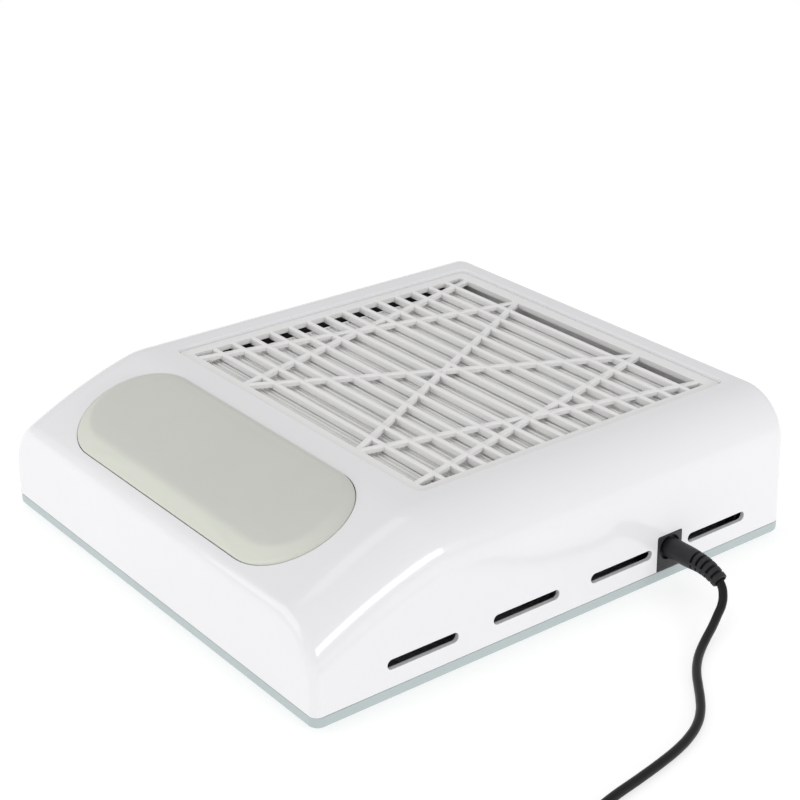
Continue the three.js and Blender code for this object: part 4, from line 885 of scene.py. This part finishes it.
def addRest(s):
    obj = link("handRest", restForm(s), "padSkin", 80)
    before = [v.co.copy() for v in obj.data.vertices]
    held = obj.vertex_groups.new(name="held")
    held.add([v.index for v in obj.data.vertices if v.co.z < (s["edge"] - 0.1) * mm], 1, "REPLACE")
    cloth = obj.modifiers.new("skin", "CLOTH")
    cloth.settings.quality = 5
    cloth.settings.mass = s["mass"]
    cloth.settings.use_pressure = True
    cloth.settings.uniform_pressure_force = s["pressure"]
    cloth.settings.tension_stiffness = s["stretchStiffness"]
    cloth.settings.compression_stiffness = s["stretchStiffness"]
    cloth.settings.shear_stiffness = s["shearStiffness"]
    cloth.settings.bending_stiffness = s["bendStiffness"]
    cloth.settings.vertex_group_mass = "held"
    cloth.settings.effector_weights.gravity = 0
    cloth.collision_settings.use_collision = False
    cloth.point_cache.frame_start = 1
    cloth.point_cache.frame_end = s["frames"]
    for frameNow in range(1, s["frames"] + 1):
        scene.frame_set(frameNow)
    applyAll(obj)
    scene.frame_set(1)
    moved = 0
    for v, old in zip(obj.data.vertices, before):
        step = v.co - old
        moved = max(moved, step.length)
        # the skin gives outwards only, and less towards the lip
        lift = min(max(step.z, 0), s["cap"] * mm)
        rim = min(max((old.z / mm - s["edge"]) / s["rimFade"], 0), 1)
        v.co = old + Vector((0, 0, lift * rim))
    print("pad swelled by up to", round(moved / mm, 2), "mm, capped at", s["cap"])
    # how much of a point lies on the front and side bevels, for the painted highlight that makes the skin
    # paler there
    paintedBevelLight = obj.data.attributes.new("paintedBevelLight", "FLOAT", "POINT")
    for i, old in enumerate(before):
        share = min(max((s["crown"] - s["paintedLightFrom"] - old.z / mm) / s["paintedLightFade"], 0), 1)
        toFront = ease(-old.y / mm, -s["depth"] * 0.2, s["depth"] / 2)
        paintedBevelLight.data[i].value = share * (s["paintedLightEnds"] + (1 - s["paintedLightEnds"]) * toFront)
    for v in obj.data.vertices:
        v.co = onSlope(v.co, s)
    obj.vertex_groups.clear()
    obj.data.shade_smooth()
    obj.data.set_sharp_from_angle(angle=math.radians(60))
    settle(obj, "case", ["hand_rest_pad"])


addRest(rest)
print("hand rest ready")


# ---- power inlet, plug and its ribbed sleeve
plug = {
    "inletWidth": 15.5, "inletLow": 8.3, "inletHeight": 18.2, "inletDepth": 14, "counterbore": 6.4,
    "counterDepth": 2.4, "bore": 3.1, "boreDepth": 11,
    "handleStart": 131.8, "handleEnd": 149.4, "handleRadius": 5.05, "neckRadius": 4.85,
    "barrelLength": 7.2, "barrelRadius": 2.75, "barrelBore": 1.5,
    "sleeveLength": 16.8, "sleeveTurn": 26, "sleeveEnd": 3.95, "rings": 5, "slitWidth": 1.3, "slitDepth": 1.7,
    "spine": 15,
}


def addInlet(s):
    half = s["inletWidth"] / 2
    y = lead["inletY"]
    bm = bmesh.new()
    made = block(bm, (halfWidth - s["inletDepth"], y - half, s["inletLow"]),
                 (halfWidth, y + half, s["inletLow"] + s["inletHeight"]))
    bevelEdges(bm, edgesAlong(made, 0), 1.0 * mm, 4)
    face = max(bm.faces, key=lambda f: f.normal.x * f.calc_area())
    bevelEdges(bm, face.edges, 0.35 * mm, 2)
    obj = link("inletHousing", bm, "plasticBlack", 30)
    cuts = []
    for radius, depth in ((s["counterbore"], s["counterDepth"]), (s["bore"], s["boreDepth"])):
        bm = bmesh.new()
        spun(bm, [(0, 0), (0, radius), (depth + 1, radius), (depth + 1, 0)], 48, "X",
             (halfWidth - depth, y, lead["plugHeight"]))
        cuts.append(link("bore", bm, "plasticBlack"))
    cutWith(obj, cuts)
    obj.data.set_sharp_from_angle(angle=math.radians(30))
    settle(obj, "case", ["power_inlet"])


def addHandle(s):
    start, end, big, small = s["handleStart"], s["handleEnd"], s["handleRadius"], s["neckRadius"]
    bm = bmesh.new()
    profile = [
        (start, 0), (start, big - 0.55), (start + 0.15, big - 0.2), (start + 0.5, big),
        (start + 4, big + 0.03), (start + 8, big + 0.02), (start + 12, big), (end - 3, big - 0.05),
        (end - 0.6, small), (end, small - 0.12), (end, 0),
    ]
    spun(bm, profile, 48, "X", (0, lead["inletY"], lead["plugHeight"]))
    handle = link("plugHandle", bm, "plugBlack")
    settle(handle, "power_lead", ["plug_handle"])
    bm = bmesh.new()
    tip, outside, inside = start - s["barrelLength"], s["barrelRadius"], s["barrelBore"]
    profile = [(start, 0), (start, outside), (tip + 0.3, outside), (tip, outside - 0.25), (tip, inside),
               (start - 1, inside), (start - 1, 0)]
    spun(bm, profile, 40, "X", (0, lead["inletY"], lead["plugHeight"]))
    barrel = link("plugBarrel", bm, "plugNickel")
    settle(barrel, "power_lead", ["plug_barrel"])
    return handle, barrel


def bendDown(along, length, turn):
    # where a sleeve that droops under the cord's weight has got to, and its heading
    steps = 24
    x = z = heading = 0
    for i in range(steps):
        heading = -math.radians(turn) * ease((i + 0.5) / steps * along / length, 0, 1)
        x += math.cos(heading) * along / steps
        z += math.sin(heading) * along / steps
    heading = -math.radians(turn) * ease(along / length, 0, 1)
    return x, z, heading


def ribbedSleeve(start, s, length, turn, big, small, rings):
    # rings grown along a tube, with slits left between them except along two spines
    pitch = length / (rings + 0.35)
    stops = [(0.0, False), (0.35 * pitch, False)]
    for i in range(rings):
        a = pitch * (0.35 + i)
        b = a + s["slitWidth"]
        c = a + pitch
        stops += [(a + 0.02, True), (b - 0.02, True), (b, False)]
        stops += [(b + 0.3 * (c - b), False), (b + 0.75 * (c - b), False), (c, False)]
    sides = 48
    bm = bmesh.new()
    ring = bmesh.ops.create_circle(bm, cap_ends=False, segments=sides, radius=1)["verts"]
    edges = list(bm.edges)
    stations = []
    last = stops[-1][0]
    profile = [(along, big + (small - big) * along / last, slit) for along, slit in stops]
    profile += [(last + 0.35, small - 0.12, False), (last + 0.6, small - 0.55, False),
                (last + 0.55, 3.0, False), (last - 0.9, 2.6, False), (last - 2.2, 2.25, False)]
    for i, (along, radius, slit) in enumerate(profile):
        if i:
            grown = bmesh.ops.extrude_edge_only(bm, edges=edges)["geom"]
            edges = [g for g in grown if isinstance(g, bmesh.types.BMEdge)]
            ring = [g for g in grown if isinstance(g, bmesh.types.BMVert)]
        stations.append((ring, along, radius, slit))
    x0, y0, z0 = start
    for ring, along, radius, slit in stations:
        for v in ring:
            angle = math.atan2(v.co.y, v.co.x)
            fromTop = min(abs(angle - math.pi / 2), abs(angle + math.pi / 2))
            r = radius
            if slit and fromTop < math.radians(90 - s["spine"]):
                r -= s["slitDepth"]
            across, up = r * math.cos(angle), r * math.sin(angle)
            x, z, heading = bendDown(along, length, turn)
            x, z = x0 + x - up * math.sin(heading), z0 + z + up * math.cos(heading)
            v.co = Vector((x, y0 + across, z)) * mm
    return bm


addInlet(plug)
plugHandle, plugBarrel = addHandle(plug)
sleeveMesh = ribbedSleeve(
    (plug["handleEnd"] - 0.8, lead["inletY"], lead["plugHeight"]), plug,
    plug["sleeveLength"], plug["sleeveTurn"], plug["neckRadius"], plug["sleeveEnd"], plug["rings"],
)
plugSleeve = link("plugSleeve", sleeveMesh, "plugBlack", 40)
settle(plugSleeve, "power_lead", ["plug_sleeve"])
print("plug ready")


# ---- wall adapter on the lead's far end, and the tie round the coil
adapter = {
    "low": (334.3, -179.9, 0.05), "high": (396.3, -139.9, 25.05), "round": 4.2, "seam": 0.5,
    "seamDepth": 0.3, "pinLength": 17, "pinRadius": 2, "pinSpacing": 19, "pinHeight": 12.55,
    "pinSleeve": 9, "sleeveRadius": 4.0, "sleeveEnd": 3.4, "sleeveLength": 11.6, "sleeveRings": 4,
    "sleeveBeside": 31.9,
}
tieBand = {"reach": 7.4, "halfWidth": 2, "low": 0.02, "high": 9.3, "corner": 2.6, "wall": 0.6, "edge": 0.15}


def addAdapter(s):
    bm = bmesh.new()
    made = block(bm, s["low"], s["high"])
    bevelEdges(bm, list({e for v in made for e in v.link_edges}), s["round"] * mm, 6)
    middle = (Vector(s["low"]) + Vector(s["high"])) / 2 * mm
    for rise in (-1, -0.4, 0.4, 1):
        geom = list(bm.verts) + list(bm.edges) + list(bm.faces)
        bmesh.ops.bisect_plane(bm, geom=geom, plane_co=middle + Vector((0, 0, rise * s["seam"] * mm)),
                               plane_no=(0, 0, 1), dist=1e-6)
    for v in bm.verts:
        if abs(v.co.z - middle.z) < s["seam"] * 0.5 * mm:
            away = v.co - middle
            away.z = 0
            v.co -= away.normalized() * s["seamDepth"] * mm
    body = link("adapterBody", bm, "plasticBlack", 32)
    settle(body, "power_lead", ["adapter_body"])
    parts = [body]
    for side, name in ((-1, "adapter_pin_a"), (1, "adapter_pin_b")):
        bm = bmesh.new()
        x0, r, run, black = s["high"][0] - 0.5, s["pinRadius"], s["pinLength"] + 0.8, s["pinSleeve"]
        profile = [(0, 0), (0, r), (black, r), (black + 0.05, r - 0.12), (run - 1, r - 0.12),
                   (run - 0.3, r - 0.7), (run, r - 1.3), (run, 0)]
        spun(bm, profile, 28, "X", (x0, middle.y / mm + side * s["pinSpacing"] / 2, s["pinHeight"]))
        pin = link("wallPin_" + ("a" if side < 0 else "b"), bm, "contactBrass")
        pin.data.materials.append(finish["plasticBlack"])
        for f in pin.data.polygons:
            f.material_index = 1 if f.center.x < (x0 + black + 0.02) * mm else 0
        settle(pin, "power_lead", [name])
        parts.append(pin)
    bm = ribbedSleeve(
        (0, 0, 0), plug, s["sleeveLength"], 0, s["sleeveRadius"], s["sleeveEnd"], s["sleeveRings"],
    )
    bmesh.ops.rotate(bm, cent=(0, 0, 0), matrix=Matrix.Rotation(math.pi, 3, "Z"), verts=bm.verts)
    spot = Vector((s["low"][0] + 0.6, lead["coil"][1] - s["sleeveBeside"], lead["adapterHeight"]))
    bmesh.ops.translate(bm, vec=spot * mm, verts=bm.verts)
    sleeve = link("adapterSleeve", bm, "plugBlack", 40)
    settle(sleeve, "power_lead", ["adapter_sleeve"])
    parts.append(sleeve)
    return parts


def addTie(s):
    bm = bmesh.new()
    x, y = lead["coil"]
    x += lead["turnRadius"]
    made = block(bm, (x - s["reach"], y - s["halfWidth"], s["low"]),
                 (x + s["reach"], y + s["halfWidth"], s["high"]))
    bevelEdges(bm, edgesAlong(made, 1), s["corner"] * mm, 5)
    faces = [f for f in bm.faces if abs(f.normal.y) > 0.9]
    bmesh.ops.delete(bm, geom=faces, context="FACES_ONLY")
    tie = link("coilTie", bm, "cordBlack", 50)
    wall = tie.modifiers.new("wall", "SOLIDIFY")
    wall.thickness = s["wall"] * mm
    wall.offset = -1
    edge = tie.modifiers.new("edge", "BEVEL")
    edge.width = s["edge"] * mm
    edge.segments = 2
    applyAll(tie)
    settle(tie, "power_lead")
    return tie


adapterParts = addAdapter(adapter)
coilTie = addTie(tieBand)
print("adapter and tie ready")


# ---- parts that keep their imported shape: finish, and a small round on their edges
kept = {
    "screwSteel": ["case_screw_", "deck_screw_", "bracket_screw_", "board_screw_"],
    "partGrey": ["pad_backing", "fan_impeller"],
    "deckBlack": ["fan_deck"],
    "grilleWhite": ["filter_tray"],
    "motorSteel": ["motor_can", "motor_shaft", "motor_bracket", "inlet_guard"],
    "windingCopper": ["motor_stator"],
    "boardGreen": ["control_board"],
    "terminalGreen": ["board_terminal"],
    "capacitorBlue": ["board_capacitor"],
    "contactBrass": ["inlet_contact"],
    "plasticBlack": ["switch_body"],
    "rockerBlack": ["switch_rocker"],
    "wireRed": ["inlet_wire_plus", "motor_wire_plus", "switch_wire_a"],
    "wireBlack": ["inlet_wire_minus", "motor_wire_minus", "switch_wire_b"],
}
rounded = {"pad_backing": 0.4, "filter_tray": 0.4, "fan_deck": 0.5, "inlet_guard": 0.4, "motor_bracket": 0.3,
           "switch_body": 0.4, "switch_rocker": 0.5, "board_terminal": 0.5}


def dressKept():
    for look, starts in kept.items():
        for name, obj in nodes.items():
            if not any(name.startswith(start) for start in starts):
                continue
            obj.data.materials.clear()
            obj.data.materials.append(finish[look])
            if name in rounded:
                weld = obj.modifiers.new("weld", "WELD")
                weld.merge_threshold = 1e-6
                edge = obj.modifiers.new("edge", "BEVEL")
                edge.width = rounded[name] * mm
                edge.segments = 2
                edge.angle_limit = math.radians(50)
                edge.harden_normals = False


dressKept()
print("kept parts dressed")


# ---- plain floor and soft studio light
studio = {
    "floor": 16, "floorGlow": 0.67, "world": 0.67,
    # name: (azimuth, elevation, distance, width, height, power)
    "lights": {
        "keyFront": (-20, 22, 1.6, 1.5, 0.9, 6.3),
        "keySide": (100, 17, 1.7, 1.1, 0.30, 6.8),
        "overhead": (-70, 76, 1.5, 0.9, 0.5, 1.1),
    },
}


def addArea(name, azimuth, elevation, distance, width, height, power):
    data = bpy.data.lights.new(name, "AREA")
    data.shape = "RECTANGLE"
    data.size, data.size_y = width, height
    data.energy = power
    obj = bpy.data.objects.new(name, data)
    turn = (
        Matrix.Rotation(math.radians(azimuth), 4, "Z")
        @ Matrix.Rotation(math.radians(90 - elevation), 4, "X")
    )
    aim = Matrix.Translation((0, 0, 0.04))  # the middle of the case
    obj.matrix_world = aim @ turn @ Matrix.Translation((0, 0, distance))
    scene.collection.objects.link(obj)


def addStage(s):
    bm = bmesh.new()
    bmesh.ops.create_grid(bm, x_segments=1, y_segments=1, size=s["floor"] / 2)
    bmesh.ops.translate(bm, vec=(0, 0, -0.0001), verts=bm.verts)
    mat, tree, shader = startMaterial("floorWhite")
    speck = grain(tree, place(tree), 3, 2)
    colour = blendColours(tree, spread(tree, speck, 0.3, 0.7, 0, 1), (0.42, 0.42, 0.42), (0.41, 0.41, 0.41))
    tree.links.new(colour, shader.inputs["Base Color"])
    shader.inputs["Roughness"].default_value = 0.7
    shader.inputs["Emission Color"].default_value = (1, 1, 1, 1)
    shader.inputs["Emission Strength"].default_value = s["floorGlow"]
    finish["floorWhite"] = mat
    floor = link("floor", bm, "floorWhite")
    world = bpy.data.worlds.new("studio")
    world.use_nodes = True
    back = world.node_tree.nodes["Background"]
    back.inputs["Color"].default_value = (1, 1, 1, 1)
    back.inputs["Strength"].default_value = s["world"]
    scene.world = world
    for name, light in s["lights"].items():
        addArea(name, *light)
    scene.view_settings.view_transform = "Standard"


addStage(studio)
print("studio ready")
